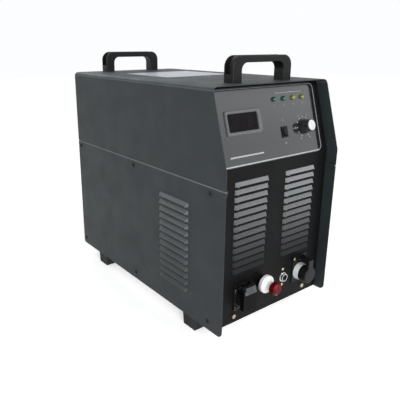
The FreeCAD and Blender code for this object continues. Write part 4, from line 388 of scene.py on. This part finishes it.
# %% Powder coats
def powder(name, colour, roughness, louvre_light, levels, front=False, **values):
    """Baked powder: orange peel, sandy tooth, and painted light on the louvres towards the top.

    The levels are two heights in metres and the share of painted light at each of them. On
    the case, not the front panel, the folded edges and the hem also get painted highlights.
    """
    f = Finish(name, colour, roughness, **values)
    f.wander(9.0, 0.07)
    speck = f.between(f.noise(2600, 1.0), 0.60, 0.74)
    f.over(f.both(speck, 0.35), tuple(min(1, c * 1.8 + 0.01) for c in colour))
    x, y, z = f.axes(f.place)
    aside = f.math("ABSOLUTE", x)
    if front:
        proud = f.both(f.math("LESS_THAN", y, LIPS_BEFORE), f.math("LESS_THAN", z, LIPS_BELOW))
        proud = f.both(proud, f.between(x, -LIPS_HALF, LIPS_HALF, 0.72, 1.0))
    else:
        proud = f.math("GREATER_THAN", aside, LIPS_OUTSIDE)
    patchy = f.between(f.noise(160, 4.0), 0.25, 0.75, 0.85, 1.0)
    # painted light: the louvre faces take a paler, patchy colour that grows towards the top, for
    # the light they catch
    f.over(f.both(f.both(proud, f.between(z, *levels)), patchy), louvre_light)
    if not front:
        # painted highlight: the folded edges along the top of the cover are painted three times
        # lighter, for the light they catch
        bend_highlight = f.math("ADD", *(f.band(z, *edges, BEND_SOFT) for edges in BENDS))
        bend_highlight = f.both(bend_highlight, f.math("GREATER_THAN", aside, BENDS_OUTSIDE))
        f.over(f.both(bend_highlight, 0.75), tuple(3.0 * c for c in colour))
        # painted highlight: a pale grey line along the hem, for the light it catches
        hem = f.both(f.band(z, *HEM, HEM_SOFT), f.math("GREATER_THAN", aside, HEM_OUTSIDE))
        f.over(hem, HEM_HIGHLIGHT)
    f.smear(24, 0.05)
    f.tooth(900, 2.0, 0.05)
    f.tooth(2900, 1.0, 0.02)
    return f


# the paler louvre colour given in these two calls is painted light, paler towards the top
case_paint = powder(
    "charcoal_powder", (0.026, 0.033, 0.0355), 0.56, louvre_light=(0.140, 0.150, 0.154),
    levels=(0.07, 0.27, 0.35, 1.0), Specular_IOR_Level=0.26,
)
panel_paint = powder(
    "black_powder", (0.0040, 0.0042, 0.0046), 0.50, louvre_light=(0.34, 0.353, 0.362),
    levels=(0.125, 0.32, 0.06, 1.0), front=True, Specular_IOR_Level=0.10,
)
dress(case_paint, "left_side_panel", "right_side_panel", "top_cover", "rear_panel")
dress(panel_paint, "front_panel")
print("painted:", case_paint.material.name, panel_paint.material.name)

# %% [markdown]
# ### Moulded plastics and rubber
#
# The handles, sockets and fan are black nylon from a spark-eroded mould: a satin skin
# with a fine even grain. The lid of the square socket is duller, the knob is polished
# instead, and the feet are dull rubber.

# %% Plastics
moulded = Finish("black_nylon", (0.0070, 0.0072, 0.0076), 0.44, Specular_IOR_Level=0.22)
moulded.wander(30, 0.12).smear(60, 0.05)
moulded.tooth(2400, 2.0, 0.03)
dress(
    moulded,
    "front_handle", "rear_handle", "meter_body", "rocker_housing", "rocker_button", "left_socket",
    "right_socket", "right_socket_lid", "terminal_base",
    "signal_socket_insert", "fan_frame", "fan_rotor", "breaker_body", "cable_gland",
)
lid_skin = Finish("lid_nylon", (0.003, 0.003, 0.0032), 0.50, Specular_IOR_Level=0.08)
lid_skin.wander(30, 0.12).smear(60, 0.05)
lid_skin.tooth(2400, 2.0, 0.03)
dress(lid_skin, "left_socket_lid")
polished = Finish(
    "polished_black", (0.0075, 0.0075, 0.008), 0.17, Coat_Weight=0.5, Coat_Roughness=0.08,
)
polished.wander(40, 0.15).smear(90, 0.04)
polished.tooth(1200, 2.0, 0.006)
dress(polished, "current_knob", "breaker_lever")
rubber = Finish("foot_rubber", (0.018, 0.018, 0.019), 0.78, Specular_IOR_Level=0.3)
rubber.wander(45, 0.2).smear(50, 0.08)
rubber.tooth(1500, 4.0, 0.08)
dress(rubber, "front_foot", "rear_foot")
bezel = Finish("bezel_grey", (0.115, 0.122, 0.127), 0.38).wander(60, 0.05).smear(80, 0.04)
bezel.tooth(2600, 1.0, 0.02)
dress(bezel, "meter_bezel")
nylon = Finish(
    "white_nylon", (0.86, 0.87, 0.86), 0.38, Subsurface_Weight=0.15, Subsurface_Scale=0.002,
)
nylon.wander(80, 0.04).smear(70, 0.05)
nylon.tooth(1400, 2.0, 0.015)
dress(nylon, "right_socket_ring", "terminal_bush")
red = Finish("red_plastic", (0.125, 0.0015, 0.003), 0.24, Specular_IOR_Level=0.14)
red.wander(120, 0.25).smear(90, 0.05)
red.tooth(900, 2.0, 0.01)
dress(red, "terminal_cap")
plastics = (moulded, lid_skin, polished, rubber, bezel, nylon, red)
print("plastics and rubber:", [f.material.name for f in plastics])

# %% [markdown]
# ### Films and windows
#
# The control label is a sheet of polyester with a gloss face, dark grey under it. It
# reflects the hood around it and the knob. It is painted paler towards the top, as painted
# light, and darker at its right edge, as painted shade from the hood's cheek. The meter's
# window is smoked acrylic, and the plate on the cover is a pale satin sheet.

# %% Films
# painted light: the film is painted paler towards the top, between these heights in metres
LABEL_LIGHT, LABEL_LIGHT_FROM, LABEL_LIGHT_TO = (0.034, 0.037, 0.039), 0.365, 0.455
# painted shade: the film is painted darker at its right edge, where the hood's cheek darkens it
LABEL_SHADE, LABEL_SHADE_FROM, LABEL_SHADE_TO = (0.003, 0.0035, 0.004), 0.115, 0.122
label = Finish(
    "label_film", (0.0075, 0.0110, 0.0135), 0.12,
    Specular_IOR_Level=0.75, Coat_Weight=1.0, Coat_Roughness=0.09,
)
label.wander(7, 0.08).smear(30, 0.03)
label_x, _, label_z = label.axes(label.place)
# painted light, paler towards the top
label.over(label.between(label_z, LABEL_LIGHT_FROM, LABEL_LIGHT_TO, 0.0, 0.9), LABEL_LIGHT)
# painted shade along the right edge
label.over(label.between(label_x, LABEL_SHADE_FROM, LABEL_SHADE_TO), LABEL_SHADE)
label.tooth(420, 2.0, 0.004)
dress(label, "control_label")
plate = Finish("plate_film", (0.47, 0.50, 0.56), 0.34)
plate.wander(14, 0.05, stretch=(1, 6, 1)).smear(30, 0.06)
plate.tooth(700, 3.0, 0.01, stretch=(8, 1, 8))
dress(plate, "top_plate")
smoke = Finish("smoked_acrylic", (0.005, 0.0042, 0.0055), 0.16, Specular_IOR_Level=0.10)
smoke.wander(60, 0.3).smear(60, 0.02)
dress(smoke, "meter_window")
for lens_name, lens_colour, lamps in (
    ("green_lens", (0.0, 0.10, 0.055), "green_lamps"),
    ("amber_lens", (0.20, 0.205, 0.035), "amber_lamps"),
):
    lens = Finish(
        lens_name, lens_colour, 0.12, Coat_Weight=0.5, Coat_Roughness=0.05,
        Subsurface_Weight=0.1, Subsurface_Scale=0.002,
    )
    lens.wander(300, 0.3)
    lens.tooth(500, 1.0, 0.01)
    dress(lens, lamps)
print("films and windows:", [f.material.name for f in (label, plate, smoke)])

# %% [markdown]
# ### Metals
#
# Zinc plating is grey or yellowish and slightly patchy, black oxide is thin and dark,
# and nickel is bright. Turned brass and the knob's cap show fine rings from the lathe,
# and aluminium sheet shows lines along its rolling direction.

# %% Metals
steel = Finish("zinc_plate", (0.56, 0.56, 0.55), 0.34, 1.0).wander(90, 0.12).smear(120, 0.10)
steel.tooth(800, 3.0, 0.01)
dress(
    steel,
    "base_pan", "handle_and_foot_screws", "side_rails", "potentiometer", "lid_hinge_pins",
)
yellow_zinc = Finish("yellow_zinc", (0.50, 0.43, 0.33), 0.42, 1.0)
yellow_zinc.wander(300, 0.25).smear(200, 0.12)
yellow_zinc.tooth(900, 3.0, 0.02)
dress(yellow_zinc, "panel_corner_screws", "bright_small_screws")
black_steel = Finish("black_oxide", (0.008, 0.008, 0.009), 0.30, 0.2)
black_steel.wander(200, 0.2).smear(200, 0.08)
black_steel.tooth(1500, 2.0, 0.01)
dress(black_steel, "black_pan_screws")
aluminium = Finish("mill_aluminium", (0.72, 0.72, 0.73), 0.38, 1.0)
aluminium.wander(30, 0.05, stretch=(1, 0.1, 1))
aluminium.smear(400, 0.1, stretch=(1, 0.04, 1))
aluminium.tooth(900, 2.0, 0.01, stretch=(1, 0.04, 1))
dress(aluminium, "inner_deck", "potentiometer_shaft", "heatsink_pair")
nickel = Finish("bright_nickel", (0.66, 0.66, 0.64), 0.16, 1.0).wander(120, 0.06).smear(160, 0.06)
nickel.tooth(500, 2.0, 0.004)
dress(nickel, "signal_socket", "fan_guard")
brass = Finish("turned_brass", (0.70, 0.50, 0.22), 0.27, 1.0).wander(90, 0.08).smear(140, 0.08)
brass.tooth(300, 1.0, 0.01, stretch=(0.2, 9, 0.2))
dress(brass, "terminal_stud", "air_inlet", "earth_bolt", "solenoid_valve")
metals = (steel, yellow_zinc, black_steel, aluminium, nickel, brass)
print("metals:", [f.material.name for f in metals])

# %% The turned face of the knob's cap
RING_PITCH = 0.8 * MM
spun = Finish("spun_aluminium", (0.88, 0.88, 0.89), 0.24, 1.0).wander(200, 0.04)
from_axis = spun.vector("SUBTRACT", spun.place, middle_of("knob_cap").tolist())
radius_vector = spun.vector("CROSS_PRODUCT", from_axis, OUTWARD.tolist())
radial = spun.vector("LENGTH", radius_vector, out=Tree.LENGTH_OUTPUT)
spun.grain(spun.math("SINE", spun.math("MULTIPLY", radial, 2 * math.pi / RING_PITCH)), 0.02)
dress(spun, "knob_cap")
print("rings on the cap, mm apart:", RING_PITCH / MM)

# %% [markdown]
# ### Inside the case
#
# Nobody sees these with the covers on, but a part library is used with the covers off
# too, so each has its own finish: green boards, potted modules, sleeved cans, ferrite,
# taped windings and a blue polyurethane hose.

# %% Inner finishes
board = Finish("green_board", (0.008, 0.085, 0.035), 0.32, Coat_Weight=0.4, Coat_Roughness=0.2)
board.wander(60, 0.15)
track = board.between(board.noise(260, 0.0), 0.49, 0.51)
board.over(board.both(track, 0.5), (0.02, 0.16, 0.07))
dress(board, "control_board", "power_board")
potted = Finish("potting_resin", (0.02, 0.021, 0.022), 0.55).wander(60, 0.25).smear(40, 0.12)
potted.tooth(300, 3.0, 0.05)
dress(potted, "power_modules", "arc_starter_unit")
sleeve = Finish("can_sleeve", (0.015, 0.03, 0.11), 0.3).wander(50, 0.1).smear(50, 0.06)
sleeve.tooth(120, 2.0, 0.03, stretch=(1, 1, 0.2))
dress(sleeve, "dc_capacitors")
ferrite = Finish("ferrite_grey", (0.035, 0.035, 0.037), 0.6, 0.2).wander(90, 0.15).smear(60, 0.1)
ferrite.tooth(1200, 4.0, 0.04)
dress(ferrite, "transformer_core")
tape = Finish("winding_tape", (0.55, 0.36, 0.04), 0.35)
tape.wander(30, 0.1, stretch=(1, 1, 4)).smear(60, 0.06)
tape.tooth(80, 1.0, 0.12, stretch=(0.2, 0.2, 6))
dress(tape, "transformer_winding", "output_ring_choke")
hose = Finish(
    "blue_hose", (0.01, 0.09, 0.36), 0.25, Subsurface_Weight=0.1, Subsurface_Scale=0.003,
)
hose.wander(30, 0.08).smear(50, 0.05)
hose.tooth(200, 2.0, 0.02)
dress(hose, "air_hose")
print("materials in all:", len(bpy.data.materials))

# %% [markdown]
# ## New pieces
#
# The solids stop at the machine's main shapes. What is thinner than paint, or finer
# than a model needs, is made here as surfaces worked out with numpy: a grid of points
# from a formula, whose neighbours are joined by four-sided faces. The grid closes on
# itself from its last column to its first, like the skin of a tube, and where asked
# also from its last row to its first, like a ring.

# %% Grid surfaces
MERGE_WITHIN = 2e-6  # metres


def grid_faces(rows, columns, wrap_rows=False, start=0):
    """Four-sided faces between the neighbours of a rows x columns grid of points.

    Point (i, j) has the number i * columns + j, and a face joins (i, j), (i, j + 1),
    (i + 1, j + 1) and (i + 1, j). Columns wrap round from the last to the first, and so
    do rows where asked.
    """
    i = np.arange(rows if wrap_rows else rows - 1)[:, None]
    j = np.arange(columns)[None, :]
    down, right = (i + 1) % rows, (j + 1) % columns
    corners = (i * columns + j, i * columns + right, down * columns + right, down * columns + j)
    return start + np.stack(np.broadcast_arrays(*corners), axis=-1).reshape(-1, 4)


def closed_mesh(name, spots, faces, finish):
    """A mesh whose doubled points, as at a pole, are merged, and whose faces look out."""
    mesh = bpy.data.meshes.new(name)
    mesh.from_pydata(np.concatenate(spots).tolist(), [], faces)
    shell = bmesh.new()
    shell.from_mesh(mesh)
    bmesh.ops.remove_doubles(shell, verts=shell.verts, dist=MERGE_WITHIN)
    bmesh.ops.recalc_face_normals(shell, faces=shell.faces)
    shell.to_mesh(mesh)
    shell.free()
    mesh.materials.append(finish.material)
    print("%s: %d points, %d faces" % (name, len(mesh.vertices), len(mesh.polygons)))
    return mesh


def add_piece(name, grids, finish, body="chassis", wrap_rows=False):
    """One piece from several grids of points in metres, each an array rows x columns x 3."""
    spots, faces, count = [], [], 0
    for grid in grids:
        rows, columns = grid.shape[:2]
        spots.append(grid.reshape(-1, 3))
        faces.append(grid_faces(rows, columns, wrap_rows, start=count))
        count += rows * columns
    mesh = closed_mesh(name, spots, np.concatenate(faces).tolist(), finish)
    item = bpy.data.objects.new(name, mesh)
    scene.collection.objects.link(item)
    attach(item, body)
    return item


# %% [markdown]
# ### Printed lines
#
# Screen print is a layer of ink about 0.06 mm thick. Each line is a flat strip that
# follows a path: the direction of the path is found by differences, and the two edges
# lie half a width to each side of it. The ink is painted darker near the right edge and
# almost black along the top, as painted shade from the hood.

# %% Strips of ink
INK = 0.06  # mm


def strip(path, width, closed=False):
    """A strip of ink along a path of rows x, up in mm.

    With t the unit direction of the path and n = (-t_up, t_x), its edges are path + n w/2
    and path - n w/2. Four lines of points, two on the label and two on the ink, go round
    it, and an open strip drops to the label at its ends.
    """
    path = np.asarray(path, float)
    if closed:
        way = np.roll(path, -1, axis=0) - np.roll(path, 1, axis=0)
    else:
        way = np.gradient(path, axis=0)
    way /= np.linalg.norm(way, axis=1, keepdims=True)
    aside = np.stack([-way[:, 1], way[:, 0]], axis=1) * width / 2
    if not closed:
        path = np.concatenate([path[:1], path, path[-1:]])
        aside = np.concatenate([aside[:1], aside, aside[-1:]])
    left, right = path + aside, path - aside
    out = np.full(len(path), INK)
    if not closed:
        out[[0, -1]] = 0.0
    lines = [(left, 0 * out), (left, out), (right, out), (right, 0 * out)]
    return np.stack([on_panel(side[:, 0], side[:, 1], height) for side, height in lines], axis=1)


def rounded_frame(half, low, high, radius, steps=12):
    """The path of a frame with round corners: quarter circles whose centres are inset."""
    turn = np.linspace(0, np.pi / 2, steps)
    corners = []
    top, bottom = high - radius, low + radius
    for number, (sx, up) in enumerate(((1, top), (-1, top), (-1, bottom), (1, bottom))):
        angle = turn + number * np.pi / 2
        centre = np.array([sx * (half - radius), up])
        corners.append(centre + radius * np.stack([np.cos(angle), np.sin(angle)], axis=1))
    return np.concatenate(corners)


# %% Ink
# painted shade: the ink is painted darker near the right edge, in the hood's shade
RIGHT_INK_SHADE, RIGHT_SHADE_FROM, RIGHT_SHADE_TO = (0.10, 0.105, 0.11), 0.119, 0.126
# painted shade: the ink is painted almost black along the top, under the hood's lip
TOP_INK_SHADE, TOP_SHADE_FROM, TOP_SHADE_TO = (0.02, 0.021, 0.022), 0.4655, 0.4665
ink = Finish("white_ink", (0.40, 0.41, 0.42), 0.45).wander(220, 0.06).smear(200, 0.05)
ink_x, _, ink_z = ink.axes(ink.place)
# painted shade near the right edge
ink.over(ink.between(ink_x, RIGHT_SHADE_FROM, RIGHT_SHADE_TO, 0.0, 0.6), RIGHT_INK_SHADE)
# painted shade along the top
ink.over(ink.between(ink_z, TOP_SHADE_FROM, TOP_SHADE_TO, 0.0, 0.95), TOP_INK_SHADE)
ink.tooth(2400, 2.0, 0.006)
print("ink:", ink.material.name)

# %% Border and rules
BORDER_HALF, BORDER_LOW, BORDER_HIGH, BORDER_RADIUS = 132.4, 3.0, 136.3, 10
BORDER_MIDDLE, BORDER_WIDTH = -2.8, 2.3
border_path = rounded_frame(BORDER_HALF, BORDER_LOW, BORDER_HIGH, BORDER_RADIUS)
border = strip(border_path + np.array([BORDER_MIDDLE, 0]), BORDER_WIDTH, closed=True)
add_piece("label_border", [border], ink, wrap_rows=True)
rule = strip([(-115.5, 18.1), (-74.0, 18.1), (-33.5, 18.1)], 2.6)
lamp_line = strip([(20.5, 122.2), (55.0, 122.2), (93.5, 122.2)], 0.7)
add_piece("label_rules", [rule, lamp_line], ink)

# %% [markdown]
# ### The knob's scale
#
# The knob turns 300 degrees. Eleven ticks divide that turn, and every second one has a
# plain number. A tick is a short strip along a radius: its place is the knob's centre
# plus r (cos a, sin a).

# %% Ticks
TICK_RADII, TICK_WIDTH = (17.4, 19.1, 20.8), 1.7
cap_middle = middle_of("knob_cap")
KNOB = np.array([cap_middle[0], cap_middle @ ALONG - KNEE]) / MM
print("knob at", KNOB.round(2), "mm on the panel")
turns = np.radians(np.linspace(240, -60, 11))
spokes = np.stack([np.cos(turns), np.sin(turns)], axis=1)
ticks = [strip(KNOB + np.outer(TICK_RADII, spoke), TICK_WIDTH) for spoke in spokes]
add_piece("knob_ticks", ticks, ink)

# %% Figures
FONT_SIZE = 1.38  # the size of the built-in font over the height of its capitals
FIGURE_RADIUS = 25.2


def printed_figures(name, rows):
    """Plain figures as ink on the panel: rows of text, x, up and height in mm.

    Each is a text curve made a mesh; its flat points (u, v) go to x + u, up + v on the panel.
    """
    spots, faces, count = [], [], 0
    for text, x, up, height in rows:
        curve = bpy.data.curves.new(name, "FONT")
        curve.body = text
        curve.align_x, curve.align_y = "CENTER", "CENTER"
        curve.size = height * FONT_SIZE
        curve.extrude = INK / 2
        holder = bpy.data.objects.new(name + "_text", curve)
        scene.collection.objects.link(holder)
        graph = bpy.context.evaluated_depsgraph_get()
        flat = bpy.data.meshes.new_from_object(holder.evaluated_get(graph))
        points = np.empty(3 * len(flat.vertices))
        flat.vertices.foreach_get("co", points)
        points = points.reshape(-1, 3)
        spots.append(on_panel(x + points[:, 0], up + points[:, 1], points[:, 2] + INK / 2))
        faces += [[count + v for v in polygon.vertices] for polygon in flat.polygons]
        count += len(points)
        bpy.data.objects.remove(holder)
        bpy.data.curves.remove(curve)
        bpy.data.meshes.remove(flat)
    item = bpy.data.objects.new(name, closed_mesh(name, spots, faces, ink))
    scene.collection.objects.link(item)
    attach(item, "chassis")


knob_figures = [(str(n), *(KNOB + FIGURE_RADIUS * spokes[n]), 3.6) for n in range(0, 11, 2)]
rocker_figures = [("I", 29.5, 70.5, 4.2), ("O", 29.5, 27.5, 4.2)]
lamp_figures = [(str(n + 1), 13 + 26.5 * n, 99.0, 3.4) for n in range(4)]
printed_figures("plain_figures", knob_figures + rocker_figures + lamp_figures)

# %% [markdown]
# ### The meter's frame
#
# The frame round the meter's window is moulded with round corners and a sloping rim,
# wider on the right than on the left. Six rounded outlines, one inside another, are
# joined into a ring: up the outer wall, over the rim, and down to the window.

# %% The frame
METER_UP = 77.17  # mm up the panel to the meter's middle
FRAME_MIDDLE, OPENING_MIDDLE, RIM_MIDDLE = -72.2, -74.2, -74.0


def outline_of_frame(half, tall, radius, out, middle):
    """A rounded outline round the meter, half wide to each side and tall up and down."""
    path = rounded_frame(half, METER_UP - tall, METER_UP + tall, radius)
    return on_panel(path[:, 0] + middle, path[:, 1], out)


outlines = [
    outline_of_frame(43.2, 22.0, 4.0, 0.05, FRAME_MIDDLE),
    outline_of_frame(42.9, 21.8, 4.0, 2.6, FRAME_MIDDLE),
    outline_of_frame(41.6, 20.5, 3.4, 4.0, FRAME_MIDDLE),
    outline_of_frame(37.6, 16.6, 3.8, 4.0, RIM_MIDDLE),
    outline_of_frame(36.6, 15.8, 3.4, 2.62, OPENING_MIDDLE),
    outline_of_frame(36.6, 15.8, 3.4, 0.05, OPENING_MIDDLE),
]
bezel_frame = add_piece(
    "bezel_frame", [np.stack(outlines)], bezel, wrap_rows=True,
)
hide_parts("meter_bezel")

# %% [markdown]
# ### The meter's figures
#
# Behind the smoked window three seven-segment figures are switched off and only just
# show. Each segment is a strip again, laid on the window's face and slanted a little.

# %% Seven segments
WINDOW_FACE = float((spots_of("meter_window") @ OUTWARD).max())
SEGMENT_GAP, SEGMENT_WIDTH, SLANT = 0.9, 1.9, 0.09
FIGURE_WIDTH, FIGURE_HEIGHT, FIGURES_ACROSS = 8.5, 16, (-91, -75, -59)


def segments(x, up, width, height):
    """The seven strokes of one figure: three level ones and four upright ones.

    With s the slant, a stroke's point (u, v) goes to (x + u + s v, up + v).
    """
    half_w, half_h, gap = width / 2, height / 2, SEGMENT_GAP
    level = [[(-half_w + gap, v), (0, v), (half_w - gap, v)] for v in (-half_h, 0, half_h)]
    upright = [
        [(u, sign * gap), (u, sign * half_h / 2), (u, sign * (half_h - gap))]
        for u in (-half_w, half_w) for sign in (-1, 1)
    ]
    strokes = np.array(level + upright, float)
    strokes[..., 0] += SLANT * strokes[..., 1]
    return strokes + np.array([x, up])


faint = Finish("unlit_segment", (0.011, 0.006, 0.007), 0.3, Specular_IOR_Level=0.1)
faint.wander(200, 0.2)
strokes = np.concatenate(
    [segments(x, METER_UP, FIGURE_WIDTH, FIGURE_HEIGHT) for x in FIGURES_ACROSS]
)
sunk = (LABEL_FACE - WINDOW_FACE) * OUTWARD
bars = [strip(stroke, SEGMENT_WIDTH) - sunk for stroke in strokes]
add_piece("meter_segments", bars, faint)

# %% [markdown]
# ### Screw heads
#
# A pan head is a low dome with a cross recess. The recess is a plus whose outline is a
# function of the angle alone, so the whole head is one polar grid: rings that start at
# the recess, follow its outline, and open into the round rim.

# %% Pan heads
DOME_DROP = 0.42  # how far the dome falls to its rim, as a share of its height
RECESS_DEPTH, RECESS_ARM, RECESS_HALF = 0.28, 0.56, 0.12  # shares of the radius
RECESS_TAPER = 0.86  # the recess's floor over its mouth
HEAD_RINGS = 6


def pan_head(radius, height):
    """A pan head on the XY plane, top towards +Z, in mm, as a grid of rings.

    The plus has the outline rho(a) = min(L / cos a, w / sin a), with L and w its arm and
    half width and a folded to +-45 degrees. Outside it the height is h (1 - d (r / R)^4),
    with d the dome's drop; inside, the floor is flat.
    """
    arm, half_width = RECESS_ARM * radius, RECESS_HALF * radius
    corner = math.atan2(half_width, arm)
    folded = np.array([-np.pi / 4, -0.5, -0.3, -corner, 0, corner, 0.3, 0.5])
    angle = (folded[None, :] + np.arange(4)[:, None] * np.pi / 2).ravel()
    fold = np.tile(folded, 4)
    rho = np.minimum(arm / np.cos(fold), half_width / np.maximum(np.abs(np.sin(fold)), 1e-6))
    share = np.linspace(0, 1, HEAD_RINGS)[:, None]
    outer = rho + (radius - rho) * share
    dome = height * (1 - DOME_DROP * (outer / radius) ** 4)
    nothing = 0 * rho
    reach = np.concatenate([[nothing, RECESS_TAPER * rho], outer, [radius + nothing, nothing]])
    floor = height - RECESS_DEPTH * radius + nothing
    level = np.concatenate([[floor, floor], dome, [nothing, nothing]])
    return np.stack([reach * np.cos(angle), reach * np.sin(angle), level], axis=-1)


def stand(head, place, way, turn):
    """A head in mm carried to a place, with its +Z turned to a way, spun by an angle."""
    way = np.asarray(way, float)
    side = np.cross([0.0, 0, 1], way)
    side /= np.linalg.norm(side)
    rise = np.cross(way, side)
    across = math.cos(turn) * side + math.sin(turn) * rise
    above = math.cos(turn) * rise - math.sin(turn) * side
    axes = np.stack([across, above, way])
    return (np.asarray(place, float) + head @ axes) * MM


def square_of_seats(x, y, z, half, way):
    """Four seats at the corners of an upright square whose middle is (x, y, z)."""
    return [((x + half * sx, y, z + half * sz), way) for sx in (-1, 1) for sz in (-1, 1)]


# %% Black pan heads
LEFT, RIGHT, FRONT, REAR = (-1, 0, 0), (1, 0, 0), (0, -1, 0), (0, 1, 0)
SIDE_X, SIDE_ROWS, SIDE_LEVELS = 150, (-234, 16, 265), (42, 294)
large = pan_head(4.6, 2.9)
seats = [
    ((side[0] * SIDE_X, y, z), side)
    for side in (LEFT, RIGHT) for y in SIDE_ROWS for z in SIDE_LEVELS
]
seats += square_of_seats(-78, -254, 79, 18, FRONT)  # the left socket's flange
seats += square_of_seats(0, 276.4, 139, 71, REAR)  # the fan's guard
heads = [stand(large, place, way, 0.7 * n) for n, (place, way) in enumerate(seats)]
screws = add_piece("black_pan_heads", heads, black_steel)
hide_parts("black_pan_screws")

# %% Bright pan heads
small = pan_head(3.1, 2.0)
right_socket_seats = [(70, -254, 114.5), (103, -254, 67)]
signal_socket_seats = [(36.5, -252, 101.5), (36.5, -252, 67.5)]
seats = right_socket_seats + signal_socket_seats
heads = [stand(small, place, FRONT, 0.5 + 0.9 * n) for n, place in enumerate(seats)]
screws = add_piece("bright_pan_heads", heads, yellow_zinc)
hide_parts("bright_small_screws")

# %% [markdown]
# ### The finger grips of the square lid
#
# The lid of the left socket is lifted by two sloping ribs near its top. Each is a
# wedge: its section goes out from the lid, and its upper face slopes back to it. The ribs
# are painted a lighter grey than the lid, as painted light for the light their faces catch.

# %% Wedges
RIBS = ((14.5, 94.8), (12.5, 101.9))  # half width and lower edge of each rib
RIB_HEIGHT, RIB_REACH, RIB_MIDDLE = 7, 3.0, -79
RIB_SUNK = 0.02  # how far a rib's back lies inside the lid


def wedge(half, low, high, face, reach):
    """A rib across X, in mm: out by reach at the low edge, back to the face at the high one.

    The section is (face, low), (face - reach, low + 1), (face - reach, low + 2), (face, high),
    with both ends closed to a point at the section's middle.
    """
    edge = face - reach
    section = np.array([(face, low), (edge, low + 1), (edge, low + 2), (face, high)])
    middle = np.broadcast_to(section.mean(axis=0), section.shape)
    rows = [(-half, middle), (-half, section), (half, section), (half, middle)]
    return np.stack([np.column_stack([np.full(4, x), profile]) for x, profile in rows])


lid_front = spots_of("left_socket_lid")[:, 1].min() / MM
# painted light: the ribs are the lid's black nylon, painted lighter grey for the light on them
lit_grip_skin = Finish("grip_nylon_lit", (0.085, 0.088, 0.092), 0.5, Specular_IOR_Level=0.3)
lit_grip_skin.wander(60, 0.15).smear(60, 0.06)
lit_grip_skin.tooth(2400, 2.0, 0.03)
rib_back = lid_front + RIB_SUNK
ribs = [
    wedge(half, low, low + RIB_HEIGHT, rib_back, RIB_REACH) + np.array([RIB_MIDDLE, 0, 0])
    for half, low in RIBS
]
add_piece("left_lid_grips", [rib * MM for rib in ribs], lit_grip_skin, body="left_lid")
